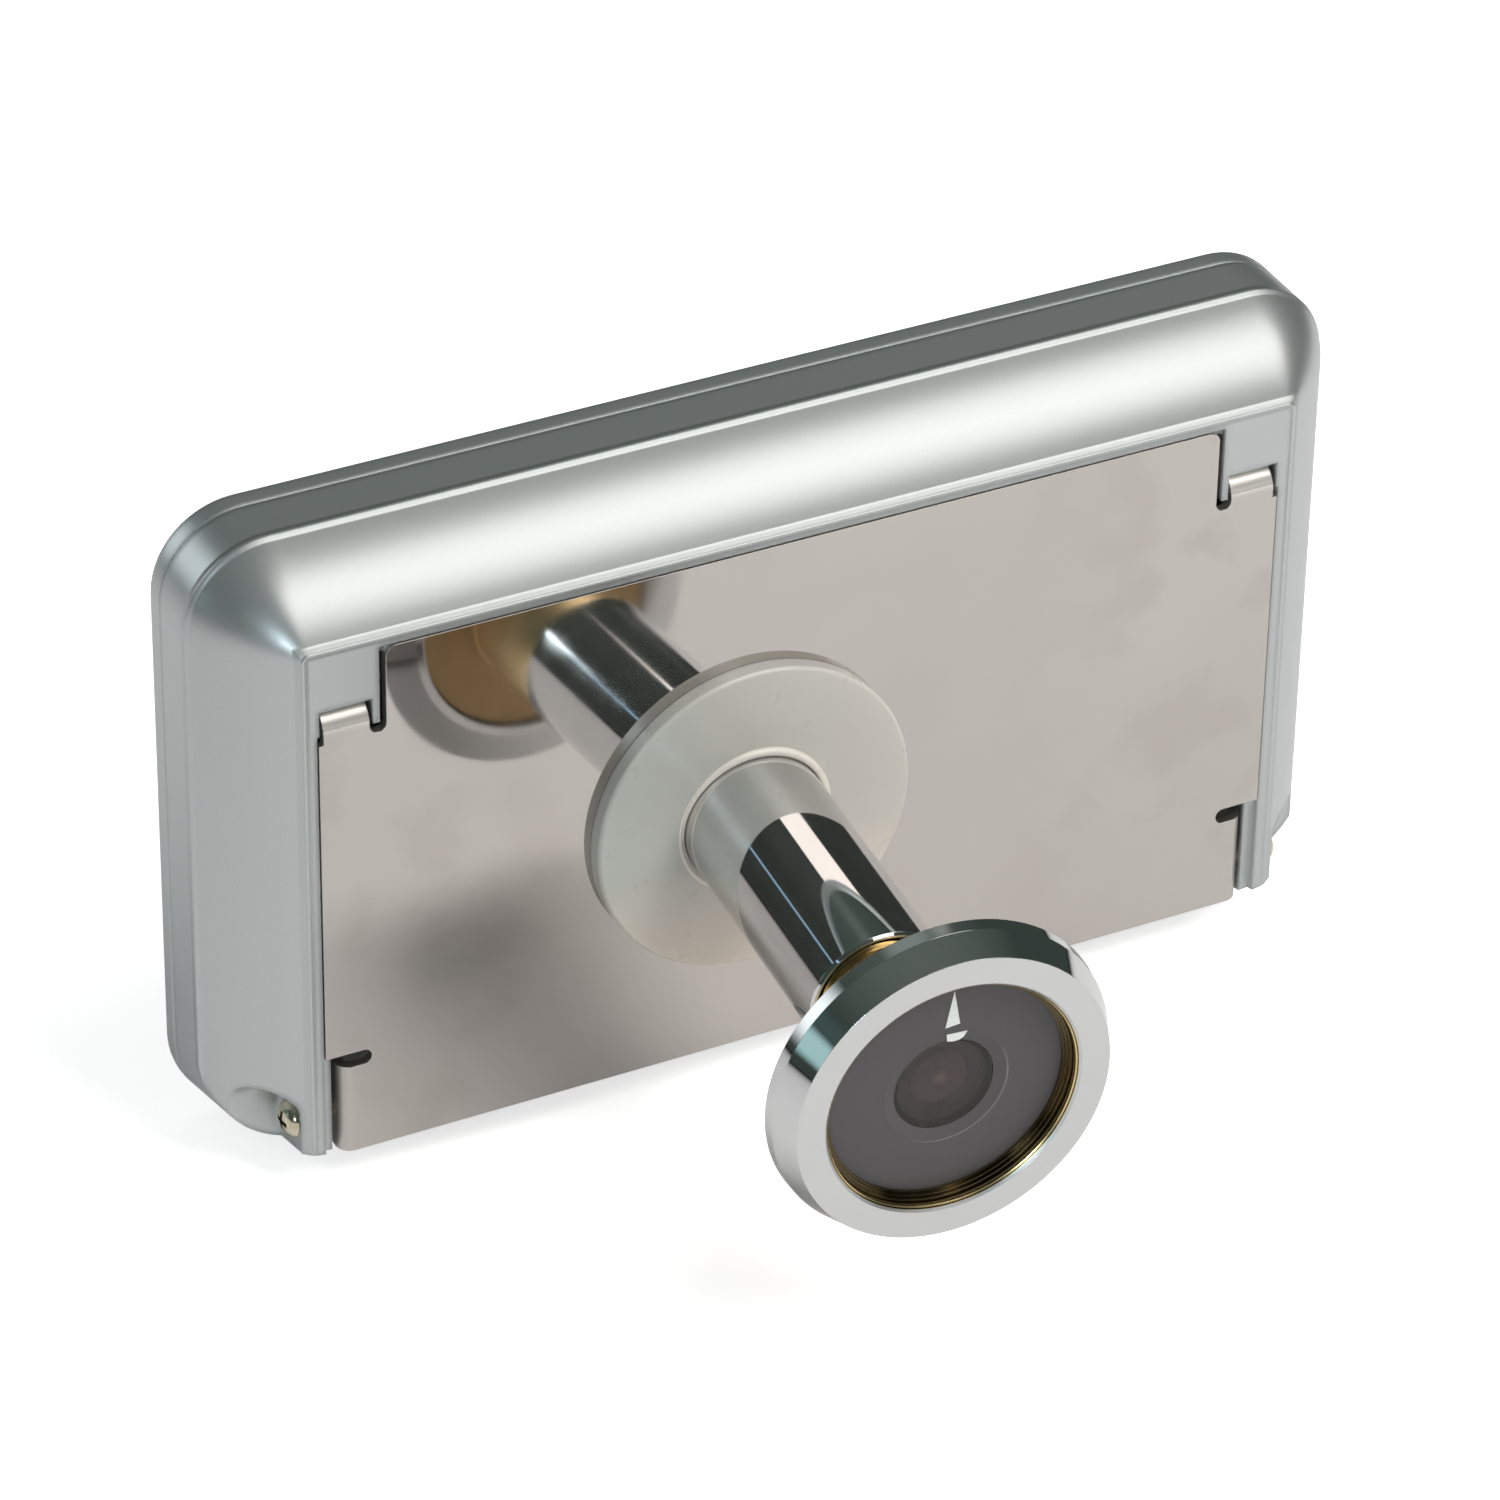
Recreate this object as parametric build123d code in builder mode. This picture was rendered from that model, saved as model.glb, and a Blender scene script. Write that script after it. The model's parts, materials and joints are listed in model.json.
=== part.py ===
from build123d import *
import os
from math import cos, radians, tan

os.makedirs("parts", exist_ok=True)

# Peephole door camera, in millimetres. The camera head looks along -Y and sits outside the door.
# The monitor faces +Y on the inside, and +Z is up. The origin is the centre of the washer's face
# that lies on the door. Depths are counted from the plate's front face towards the room, and
# distances along the barrel are counted from the same face towards the street.

overrun = 2.0
slide_gap = 0.05
fit_gap = 0.15

# Washer between the door and the mounting plate
washer_radius = 17.15
washer_thickness = 1.8
washer_bore_radius = 7.75
washer_bore_chamfer = 0.4
washer_edge_chamfer = 0.25

# Barrel through the door. It rocks a little in the plate while nothing clamps it, so it leans.
lean_sideways = 3.15
lean_down = 2.39

# What the monitor holds side by side, which sets its width: button, battery cells and display
wall = 2.0
button_room = 14.9
cell_places = 3
cell_radius = 5.25
bay_board_gap = 2.0
board_margin = 1.6
display_width = 69.2
display_side_gap = 0.6
camera_inset = 4.5

cell_pitch = 2 * cell_radius + slide_gap * 2
bay_width = cell_places * cell_pitch + 2 * fit_gap
case_half_width = (2 * wall + button_room + bay_width + bay_board_gap + board_margin
                   + display_width + display_side_gap) / 2
bay_left = wall + button_room - case_half_width
bay_right = bay_left + bay_width
board_left = bay_right + bay_board_gap
case_middle = -board_left - camera_inset

# Height of the display, which sets the case's height
display_height = 50.0
screen_middle_height = 2.2
display_top_room = 12.13
display_bottom_room = 5.1

case_top = screen_middle_height + display_height / 2 + display_top_room
case_bottom = screen_middle_height - display_height / 2 - display_bottom_room

# Monitor case
case_bottom_angle = 14.2
case_top_corner = 8.9
case_bottom_corner = 11.0
rim_depth = 0.1
crease_depth = 9.28
parting_depth = 15.04
front_depth = 18.1

# Mounting plate, which lies in the case's back with a border of it showing all round
plate_thickness = 1.0
plate_side_border = 9.7
plate_top_border = 9.35
plate_drop = 0.33

plate_half_width = case_half_width - plate_side_border
plate_top = case_top - plate_top_border
plate_bottom = case_bottom - plate_drop


def upright(depth):
    """A plane behind the plate's front face. It looks at the street, and its middle is the case's."""
    return Plane(origin=(case_middle, washer_thickness + depth, 0), x_dir=(1, 0, 0), z_dir=(0, -1, 0))


def level(height):
    """A horizontal plane with its middle at the case's middle and at the plate's front face."""
    return Plane(origin=(case_middle, washer_thickness, height), x_dir=(1, 0, 0), z_dir=(0, 0, 1))


def beside(offset):
    """A plane across the case, to one side of its middle, that looks along +X."""
    return Plane(origin=(case_middle + offset, washer_thickness, 0), x_dir=(0, 1, 0), z_dir=(1, 0, 0))


def filled(points, plane):
    """A flat face inside straight lines from point to point."""
    with BuildSketch(plane) as shape:
        with BuildLine():
            Polyline(*points, close=True)
        make_face()
    return shape.sketch


def panel(left, right, low, high, mode=Mode.ADD):
    """Put a rectangle given by its four sides into the sketch at hand."""
    with Locations(((left + right) / 2, (low + high) / 2)):
        Rectangle(right - left, high - low, mode=mode)


def slab(depth, left, right, low, high, corner=0):
    """An upright rectangle at a depth, with round corners where a radius is given."""
    with BuildSketch(upright(depth)) as shape:
        panel(left, right, low, high)
        if corner:
            fillet(shape.vertices(), corner)
    return shape.sketch


def discs(depth, places, radius, bore=0):
    """Upright round shapes of one radius at a depth, each with a bore where one is given."""
    with BuildSketch(upright(depth)) as shape:
        with Locations(*places):
            Circle(radius)
            if bore:
                Circle(bore, mode=Mode.SUBTRACT)
    return shape.sketch


def strip(points, bend, thickness, plane, side=Side.LEFT):
    """The section of sheet metal bent along a path, with one bend radius on the path's own face."""
    with BuildSketch(plane) as shape:
        with BuildLine():
            FilletPolyline(*points, radius=bend)
            offset(amount=thickness, side=side)
        make_face()
    return shape.sketch


# The barrel's own plane, whose sketches are (radius, distance along the barrel)
barrel_foot = Vector(0, washer_thickness, 0)
barrel_direction = Vector(-tan(radians(lean_sideways)), -1, -tan(radians(lean_down))).normalized()
barrel_axis = Axis(barrel_foot, barrel_direction)
barrel_radial = Vector(0, 0, 1).cross(barrel_direction).normalized()
barrel_section = Plane(
    origin=barrel_foot, x_dir=barrel_radial, z_dir=barrel_radial.cross(barrel_direction)
)


def across_barrel(distance):
    """A plane square to the barrel at a distance along it, looking towards the street."""
    return Plane(
        origin=barrel_foot + barrel_direction * distance, x_dir=barrel_radial, z_dir=barrel_direction
    )


def turned(points):
    """Turn an outline of (radius, distance) points about the barrel's axis."""
    revolve(filled(points, barrel_section), axis=barrel_axis)


# Washer: a moulded ring that keeps the steel plate off the door's paint
with BuildPart() as gasket_washer:
    with BuildSketch(Plane.XZ.offset(-washer_thickness)):
        Circle(washer_radius)
        Circle(washer_bore_radius, mode=Mode.SUBTRACT)
    extrude(amount=washer_thickness)
    door_edges = gasket_washer.edges().group_by(Axis.Y)[0].sort_by(SortBy.RADIUS)
    chamfer(door_edges[0], washer_bore_chamfer)
    chamfer(door_edges[-1], washer_edge_chamfer)
gasket_washer.part.label = "gasket_washer"
export_step(gasket_washer.part, "parts/gasket_washer.step")


# Mounting plate: polished sheet with two hooked tabs at its shoulders and a bent flange on each side
plate_hole_radius = 7.8
plate_shoulder = 7.05
plate_lip_corner = 1.1
tab_inset = 0.5
tab_width = 4.8
tab_drop = 8.48
tab_bend_radius = 2.5
tab_reach = 7.1
tab_hook_rise = 2.0
tab_hook_bend = 0.5
upper_relief_depth = 0.9
lower_relief_height = 1.7
lower_relief_length = 4.9
flange_height = 10.23
flange_inset = 1.45
flange_bend_radius = 1.6
flange_depth = 4.3
flange_corner = 2.5

plate_lip_half_width = plate_half_width - plate_shoulder
tab_outer = plate_half_width - tab_inset
tab_inner = tab_outer - tab_width
tab_bend_height = plate_top - tab_drop
tab_top = tab_bend_height + tab_bend_radius
upper_relief_bottom = tab_bend_height - upper_relief_depth
upper_relief_width = tab_inner - plate_lip_half_width
lower_relief_bottom = plate_bottom + flange_height
lower_relief_top = lower_relief_bottom + lower_relief_height
lower_relief_inner = plate_half_width - lower_relief_length
flange_outer = plate_half_width - flange_inset
flange_web_edge = flange_outer - flange_bend_radius

with BuildPart() as mounting_plate:
    with BuildSketch(upright(plate_thickness)) as web:
        panel(-plate_lip_half_width, plate_lip_half_width, 0, plate_top)
        fillet(web.vertices().group_by(Axis.Y)[-1], plate_lip_corner)
        panel(-plate_half_width, plate_half_width, lower_relief_bottom, upper_relief_bottom)
        panel(-tab_outer, tab_outer, upper_relief_bottom, tab_bend_height)
        panel(-flange_web_edge, flange_web_edge, plate_bottom, 0)
        for side in (-1, 1):
            with Locations((side * (plate_lip_half_width + tab_inner) / 2, tab_bend_height)):
                SlotCenterToCenter(2 * (tab_bend_height - upper_relief_bottom) - upper_relief_width,
                                   upper_relief_width, rotation=90, mode=Mode.SUBTRACT)
            with Locations((side * plate_half_width, (lower_relief_top + lower_relief_bottom) / 2)):
                SlotOverall(2 * (plate_half_width - lower_relief_inner), lower_relief_height,
                            mode=Mode.SUBTRACT)
        with Locations((-case_middle, 0)):
            Circle(plate_hole_radius, mode=Mode.SUBTRACT)
    extrude(amount=plate_thickness)
    for side in (-1, 1):
        tab_path = [(0, upper_relief_bottom), (0, tab_top), (tab_reach, tab_top),
                    (tab_reach, tab_top + tab_hook_rise)]
        inner_edge = min(side * tab_inner, side * tab_outer)
        extrude(strip(tab_path, (tab_bend_radius, tab_hook_bend), plate_thickness, beside(inner_edge),
                      Side.RIGHT), amount=tab_outer - tab_inner)
        flange_path = [(side * lower_relief_inner, 0), (side * flange_outer, 0),
                       (side * flange_outer, flange_depth)]
        extrude(strip(flange_path, flange_bend_radius, plate_thickness, level(plate_bottom),
                      Side.LEFT if side > 0 else Side.RIGHT), amount=lower_relief_bottom - plate_bottom)
    flange_feet = mounting_plate.edges().filter_by(Axis.X).group_by(Axis.Z)[0]
    fillet(flange_feet.group_by(Axis.Y)[-1], flange_corner)
mounting_plate.part.label = "mounting_plate"
export_step(mounting_plate.part, "parts/mounting_plate.step")


# Barrel sleeve: a chromed tube with a flange behind the plate and an internal thread
sleeve_radius = 7.47
sleeve_reach = 32.3
sleeve_rim_chamfer = 0.25
sleeve_mouth_radius = 6.95
sleeve_mouth_depth = 8.7
sleeve_bore_radius = 6.3
sleeve_flange_radius = 9.5
sleeve_flange_near = 1.75
sleeve_flange_thickness = 1.35
coin_slot_width = 2.4

sleeve_foot = -sleeve_flange_near - sleeve_flange_thickness
sleeve_step = sleeve_reach - sleeve_mouth_depth

with BuildPart() as barrel_sleeve:
    turned([
        (sleeve_bore_radius, sleeve_foot),
        (sleeve_flange_radius, sleeve_foot),
        (sleeve_flange_radius, -sleeve_flange_near),
        (sleeve_radius, -sleeve_flange_near),
        (sleeve_radius, sleeve_reach - sleeve_rim_chamfer),
        (sleeve_radius - sleeve_rim_chamfer, sleeve_reach),
        (sleeve_mouth_radius, sleeve_reach),
        (sleeve_mouth_radius, sleeve_step),
        (sleeve_bore_radius, sleeve_step),
    ])
    with BuildSketch(across_barrel(sleeve_foot)):
        Rectangle(2 * (sleeve_flange_radius + overrun), coin_slot_width)
        Circle(sleeve_bore_radius, mode=Mode.SUBTRACT)
    extrude(amount=sleeve_flange_thickness / 2, mode=Mode.SUBTRACT)
barrel_sleeve.part.label = "barrel_sleeve"
export_step(barrel_sleeve.part, "parts/barrel_sleeve.step")


# Camera barrel: one turned brass piece with the threaded tube, the polished neck and the back disc
barrel_inner_end = 6.0
barrel_bore_radius = 5.2
neck_start = 31.9
neck_radius = 6.87
disc_back = 44.2
disc_thickness = 1.3
disc_radius = 13.05
light_hole_radius = 4.6

barrel_thread_radius = sleeve_bore_radius - slide_gap
disc_front = disc_back + disc_thickness

with BuildPart() as camera_barrel:
    turned([
        (barrel_bore_radius, barrel_inner_end),
        (barrel_thread_radius, barrel_inner_end),
        (barrel_thread_radius, neck_start),
        (neck_radius, neck_start),
        (neck_radius, disc_back),
        (disc_radius, disc_back),
        (disc_radius, disc_front),
        (light_hole_radius, disc_front),
        (light_hole_radius, disc_back),
        (barrel_bore_radius, disc_back),
    ])
camera_barrel.part.label = "camera_barrel"
export_step(camera_barrel.part, "parts/camera_barrel.step")


# Head bezel: the chromed ring round the camera, with a tapered side and a bevelled back
bezel_back = 43.6
bezel_back_inner = 13.1
bezel_back_outer = 14.1
bezel_band_start = 44.5
bezel_band_end = 45.9
bezel_band_radius = 17.54
bezel_band_taper = 0.13
bezel_front = 48.93
bezel_front_radius = 16.2
bezel_mouth_radius = 13.3
bezel_bore_radius = 12.8
bezel_bore_front = 48.5

with BuildPart() as head_bezel:
    turned([
        (bezel_back_inner, bezel_back),
        (bezel_back_outer, bezel_back),
        (bezel_band_radius, bezel_band_start),
        (bezel_band_radius - bezel_band_taper, bezel_band_end),
        (bezel_front_radius, bezel_front),
        (bezel_mouth_radius, bezel_front),
        (bezel_bore_radius, bezel_bore_front),
        (bezel_bore_radius, disc_front),
        (bezel_back_inner, disc_front),
    ])
head_bezel.part.label = "head_bezel"
export_step(head_bezel.part, "parts/head_bezel.step")


# Face disc: the dark plate behind the bezel that carries the lens window
face_front = 46.8
face_radius = 12.7
window_radius = 5.1
window_front = 46.4
window_bevel_radius = 6.3
window_bevel_depth = 0.35

with BuildPart() as face_disc:
    turned([
        (window_radius + slide_gap, disc_front),
        (face_radius, disc_front),
        (face_radius, face_front),
        (window_bevel_radius, face_front),
        (window_radius + slide_gap, face_front - window_bevel_depth),
    ])
face_disc.part.label = "face_disc"
export_step(face_disc.part, "parts/face_disc.step")


# Lens window: a smoked glass disc set a little below the face
with BuildPart() as lens_window:
    turned([(0, disc_front), (window_radius, disc_front), (window_radius, window_front), (0, window_front)])
lens_window.part.label = "lens_window"
export_step(lens_window.part, "parts/lens_window.step")


# Retaining ring: brass, stepped down to the face in three fine rings
ring_front = 47.9
ring_outer_radius = 12.75
ring_bore_radius = 12.55
ring_step_width = 0.225
ring_steps = 3
ring_step_height = (ring_front - face_front) / ring_steps

with BuildPart() as retaining_ring:
    ring_outline = [(ring_outer_radius, face_front), (ring_outer_radius, ring_front)]
    for number in range(ring_steps):
        bore = ring_bore_radius - number * ring_step_width
        ring_outline.append((bore, ring_front - number * ring_step_height))
        ring_outline.append((bore, ring_front - (number + 1) * ring_step_height))
    turned(ring_outline)
retaining_ring.part.label = "retaining_ring"
export_step(retaining_ring.part, "parts/retaining_ring.step")


# Lens holder and lens: the small camera module in the barrel's bore, behind the window
holder_inner_end = 37.5
holder_radius = 5.1
holder_bore_radius = 2.9
lens_radius = 2.85
lens_rim = 44.9
lens_dome = 0.35
lens_thickness = 3.0
sensor_thickness = 1.2

with BuildPart() as lens_holder:
    turned([
        (holder_bore_radius, holder_inner_end),
        (holder_radius, holder_inner_end),
        (holder_radius, disc_back),
        (holder_bore_radius, disc_back),
    ])
lens_holder.part.label = "lens_holder"
export_step(lens_holder.part, "parts/lens_holder.step")

with BuildPart() as camera_lens:
    with BuildSketch(barrel_section):
        with BuildLine():
            Polyline((0, lens_rim + lens_dome), (0, lens_rim - lens_thickness),
                     (lens_radius, lens_rim - lens_thickness), (lens_radius, lens_rim))
            SagittaArc((0, lens_rim + lens_dome), (lens_radius, lens_rim), lens_dome / 4)
        make_face()
    revolve(axis=barrel_axis)
camera_lens.part.label = "camera_lens"
export_step(camera_lens.part, "parts/camera_lens.step")

with BuildPart() as sensor_board:
    turned([
        (0, holder_inner_end - sensor_thickness),
        (holder_radius, holder_inner_end - sensor_thickness),
        (holder_radius, holder_inner_end),
        (0, holder_inner_end),
    ])
sensor_board.part.label = "sensor_board"
export_step(sensor_board.part, "parts/sensor_board.step")


# Case outline, shared by both shells: upright sides, a flat top and a bottom that slopes
# down towards the room, so that the corners stay round along the slope
case_below = 2 * case_bottom
bottom_slope_share = tan(radians(case_bottom_angle))


def case_block(inset, back, front):
    """The case's outline drawn in by an inset all round, as a block between two depths."""
    half_width = case_half_width - inset
    bottom = case_bottom + inset / cos(radians(case_bottom_angle)) - front * bottom_slope_share
    with BuildPart() as block:
        with BuildSketch(upright(front)) as upper:
            panel(-half_width, half_width, case_below, case_top - inset)
            fillet(upper.vertices().group_by(Axis.Y)[-1], case_top_corner - inset)
        extrude(amount=front - back)
        with BuildSketch(upright(front)) as lower:
            panel(-half_width, half_width, bottom, case_top + overrun)
            fillet(lower.vertices().group_by(Axis.Y)[0], case_bottom_corner - inset)
        extrude(amount=2 * (front - back), dir=(0, -1, bottom_slope_share), mode=Mode.INTERSECT)
    return block.part


def mirrored(left, right):
    """Both copies of a stretch that lies at each side of the case's middle, as (left, right) pairs."""
    return (-right, -left), (left, right)


# Fasteners: small pan head screws, given by their tip and head along their own axis
screw_radius = 1.0
screw_head_radius = 2.0
screw_head_height = 1.3
screw_head_taper = 15
screw_hole_radius = screw_radius + slide_gap


def pan_screw(head_seat, length):
    """A pan head screw on a plane whose origin is the head's seat and whose normal leaves the head."""
    with BuildSketch(head_seat) as head:
        Circle(screw_head_radius)
    with BuildSketch(head_seat) as shank:
        Circle(screw_radius)
    extrude(head.sketch, amount=screw_head_height, taper=screw_head_taper)
    extrude(shank.sketch, amount=-length)


# Inside layout that both shells follow
floor_depth = 4.6
floor_thickness = 1.0
front_wall = 1.75
board_depth = 11.9
board_thickness = 1.6
board_top_room = 6.33
board_bottom_room = 0.35
lock_screw_depth = 3.05
lock_screw_rise = 3.4
case_screw_rise = 2.3
case_screw_left_inset = 2.7
case_screw_right_inset = 14.0
case_screw_length = 10.0
board_screw_drop = 2.7
board_screw_left_inset = 6.2
board_screw_right_inset = 6.0
board_screw_length = 4.0
post_radius = 2.5
button_board_depth = 9.8
button_board_thickness = 1.2
button_post_height = 7.5
cell_length = 44.5
cell_nub_radius = 1.9
cell_nub_height = 1.0
contact_thickness = 0.3
contact_spring_height = 4.0
bay_wall = 1.2

floor_back = floor_depth + floor_thickness
front_inside = front_depth - front_wall
cell_middle_depth = (floor_back + front_inside) / 2
bay_height = cell_length + contact_thickness + contact_spring_height
bay_bottom = screen_middle_height - bay_height / 2
bay_top = screen_middle_height + bay_height / 2
board_front = board_depth + board_thickness
display_left = board_left + board_margin
display_right = display_left + display_width
board_right = display_right - board_margin
board_top = case_top - board_top_room
board_bottom = (case_bottom + wall / cos(radians(case_bottom_angle))
                - board_depth * bottom_slope_share + board_bottom_room)
lock_screw_height = case_bottom + lock_screw_rise
case_screw_height = case_bottom + case_screw_rise
case_screw_places = [(board_left + case_screw_left_inset, case_screw_height),
                     (board_right - case_screw_right_inset, case_screw_height)]
board_screw_height = board_top - board_screw_drop
board_screw_places = [(board_left + board_screw_left_inset, board_screw_height),
                      (board_right - board_screw_right_inset, board_screw_height)]
button_middle = (wall - case_half_width + bay_left - bay_wall) / 2
button_post_places = [(button_middle, -button_post_height), (button_middle, button_post_height)]


# Back shell: the moulded back of the case. A convex flank runs round its sides and top from a
# crease to the rim that frames the plate, with one centre for each corner's whole flank.
flank_width = 8.2
flank_bulge = 1.0
ledge_width = 1.07
block_side = 1.1
hole_side_gap = 0.4
hole_chamfer = 0.5
lift_travel = 2.6
notch_depth = 3.4
notch_rise = 5.1
notch_radius = 2.66
notch_reach = 7.3
deep_wall = 0.7
deep_rise = 3.9
deep_top_room = 5.33
deep_corner = 3.0
camera_window_width = 12.0
camera_window_height = 8.0
door_lip = 0.6
door_lip_thickness = 0.5
screw_seat_depth = floor_depth + screw_head_height + fit_gap

recess_half_width = plate_half_width + fit_gap
recess_top = plate_top + fit_gap
block_inner = tab_inner - block_side
hole_inner = tab_inner - hole_side_gap
hole_outer = tab_outer + hole_side_gap
notch_height = case_bottom + notch_rise
notch_inner = case_half_width - notch_reach
deep_half_width = case_half_width - flank_width - deep_wall
deep_bottom = case_bottom + deep_rise
deep_top = case_top - deep_top_room
ledge_depth = plate_thickness + slide_gap
block_bottom = tab_bend_height + fit_gap
hole_top = tab_top + slide_gap
hole_bottom = tab_top - plate_thickness - lift_travel - fit_gap
bend_clearance_bottom = tab_bend_height - lift_travel - fit_gap
floor_bottom = case_bottom - floor_depth * bottom_slope_share

main_cavity = case_block(wall, crease_depth, parting_depth)
bay_rim = front_inside - slide_gap * 2

with BuildPart() as back_shell:
    add(case_block(0, rim_depth, parting_depth))
    with BuildLine(upright(crease_depth)) as outline_path:
        FilletPolyline(
            (-case_half_width, case_below), (-case_half_width, case_top),
            (case_half_width, case_top), (case_half_width, case_below), radius=case_top_corner,
        )
    with BuildSketch(level(case_below)):
        with BuildLine():
            SagittaArc((-case_half_width, crease_depth), (-case_half_width + flank_width, rim_depth),
                       -flank_bulge)
            Polyline(
                (-case_half_width + flank_width, rim_depth), (-case_half_width + flank_width, -overrun),
                (-case_half_width - overrun, -overrun), (-case_half_width - overrun, crease_depth),
                (-case_half_width, crease_depth),
            )
        make_face()
    sweep(path=outline_path.wire(), mode=Mode.SUBTRACT)

    # Recess for the plate, with a ledge under its edge and a block in each upper corner
    for depth, edge in ((ledge_depth, 0), (floor_depth, ledge_width)):
        with BuildSketch(upright(depth)):
            panel(edge - recess_half_width, recess_half_width - edge, case_below, recess_top - edge)
            for left, right in mirrored(block_inner, recess_half_width):
                panel(left, right, block_bottom, recess_top, mode=Mode.SUBTRACT)
        extrude(amount=depth + overrun, mode=Mode.SUBTRACT)

    # Hollow inside, deeper behind the recess floor
    add(main_cavity, mode=Mode.SUBTRACT)
    extrude(slab(crease_depth, -deep_half_width, deep_half_width, deep_bottom, deep_top, deep_corner),
            amount=crease_depth - floor_back, mode=Mode.SUBTRACT)

    # Battery bay, open towards the plate where its door slides
    extrude(slab(bay_rim, bay_left - bay_wall, bay_right + bay_wall, bay_bottom - bay_wall,
                 bay_top + bay_wall), amount=bay_rim - floor_depth)
    extrude(slab(bay_rim, bay_left, bay_right, bay_bottom, bay_top),
            amount=bay_rim - floor_depth + overrun, mode=Mode.SUBTRACT)
    for depth, lip in ((floor_depth + door_lip_thickness, door_lip - bay_wall / 2), (floor_back, door_lip)):
        extrude(slab(depth, bay_left - lip, bay_right + lip, case_below, bay_top + lip),
                amount=floor_back - floor_depth, mode=Mode.SUBTRACT)

    # Holes for the plate's tabs, each with a lead-in above the tab and room for its bend below it
    for left, right in mirrored(hole_inner, hole_outer):
        extrude(slab(floor_back + overrun, left, right, hole_bottom, hole_top),
                amount=floor_back + 2 * overrun, mode=Mode.SUBTRACT)
        extrude(slab(floor_depth, left, right, bend_clearance_bottom, block_bottom),
                amount=floor_depth + overrun, mode=Mode.SUBTRACT)
        lead_in = [(rim_depth, hole_top), (rim_depth, hole_top + hole_chamfer),
                   (rim_depth + hole_chamfer, hole_top)]
        extrude(filled(lead_in, beside(left)), amount=right - left, mode=Mode.SUBTRACT)

    # Notch and hole for the lock screw in the foot of each flank
    for side in (-1, 1):
        with BuildSketch(beside(side * notch_inner)):
            with Locations((notch_depth, notch_height)):
                Circle(notch_radius)
            with Locations((notch_depth, (notch_height + case_below) / 2)):
                Rectangle(2 * notch_radius, notch_height - case_below)
        extrude(amount=side * case_half_width, mode=Mode.SUBTRACT)
        with BuildSketch(beside(side * notch_inner)):
            with Locations((lock_screw_depth, lock_screw_height)):
                Circle(screw_hole_radius)
        extrude(amount=-side * (notch_inner - flange_outer), mode=Mode.SUBTRACT)

    # Window for the camera's plug, and posts for the boards and the case screws
    extrude(slab(floor_back, -case_middle - camera_window_width / 2, -case_middle + camera_window_width / 2,
                 -camera_window_height / 2, camera_window_height / 2),
            amount=floor_back, mode=Mode.SUBTRACT)
    extrude(discs(board_depth, case_screw_places, post_radius), amount=board_depth - floor_back)
    extrude(discs(board_depth, case_screw_places, screw_hole_radius),
            amount=board_depth - floor_depth, mode=Mode.SUBTRACT)
    extrude(discs(screw_seat_depth, case_screw_places, screw_head_radius + fit_gap),
            amount=screw_seat_depth - ledge_depth, mode=Mode.SUBTRACT)
    extrude(discs(button_board_depth, button_post_places, post_radius),
            amount=button_board_depth - floor_back)
    extrude(discs(button_board_depth, button_post_places, screw_radius),
            amount=board_screw_length, mode=Mode.SUBTRACT)
back_shell.part.label = "back_shell"
export_step(back_shell.part, "parts/back_shell.step")


# Front shell: the shallow cover on the room side, with the screen's window and the button's hole
front_edge_round = 1.0
parting_chamfer = 0.2
screen_view_width = 57.6
screen_view_height = 43.2
screen_margin = 0.4
screen_seat_lip = 2.0
screen_window_thickness = 0.9
screen_window_set_in = 0.1
screen_corner = 1.5
button_radius = 5.0
button_hole_radius = button_radius + fit_gap

screen_middle = (display_left + display_right) / 2
window_seat_depth = front_depth - screen_window_set_in - screen_window_thickness
view_half_width = screen_view_width / 2 + screen_margin
view_half_height = screen_view_height / 2 + screen_margin


def screen_slab(depth, grow):
    """An upright rectangle round the screen's view, grown by the same amount on every side."""
    return slab(depth, screen_middle - view_half_width - grow, screen_middle + view_half_width + grow,
                screen_middle_height - view_half_height - grow,
                screen_middle_height + view_half_height + grow, screen_corner)


front_cavity = case_block(wall, parting_depth - overrun, front_inside)
with BuildPart() as front_shell:
    add(case_block(0, parting_depth, front_depth))
    fillet(front_shell.faces().sort_by(Axis.Y)[-1].edges(), front_edge_round)
    chamfer(front_shell.faces().sort_by(Axis.Y)[0].edges(), parting_chamfer)
    add(front_cavity, mode=Mode.SUBTRACT)
    extrude(screen_slab(front_depth, 0), amount=front_wall, mode=Mode.SUBTRACT)
    extrude(screen_slab(front_depth, screen_seat_lip + fit_gap),
            amount=front_depth - window_seat_depth, mode=Mode.SUBTRACT)
    extrude(discs(front_depth, [(button_middle, 0)], button_hole_radius),
            amount=front_wall, mode=Mode.SUBTRACT)
    extrude(discs(front_inside, case_screw_places + board_screw_places, post_radius, screw_radius),
            amount=front_inside - board_front)
front_shell.part.label = "front_shell"
export_step(front_shell.part, "parts/front_shell.step")


# Screen window: a clear sheet let into the front shell
with BuildPart() as screen_window:
    extrude(screen_slab(window_seat_depth + screen_window_thickness, screen_seat_lip),
            amount=screen_window_thickness)
screen_window.part.label = "screen_window"
export_step(screen_window.part, "parts/screen_window.step")


# Display module: a glass panel in a thin metal frame
display_thickness = 2.5
display_frame_thickness = 0.3

display_back = board_front + fit_gap
display_front = display_back + display_thickness
with BuildPart() as display_module:
    extrude(slab(display_front, display_left, display_right, screen_middle_height - display_height / 2,
                 screen_middle_height + display_height / 2), amount=display_thickness)
    extrude(screen_slab(display_front, 0), amount=display_frame_thickness, mode=Mode.SUBTRACT)
display_module.part.label = "display_module"
export_step(display_module.part, "parts/display_module.step")


# Main board: fixed to the front shell's posts, behind the display
board_corner = 8.0
socket_width = 8.0
socket_height = 5.0
socket_thickness = 2.0
socket_slot_height = 1.2
socket_slot_depth = 1.2

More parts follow.
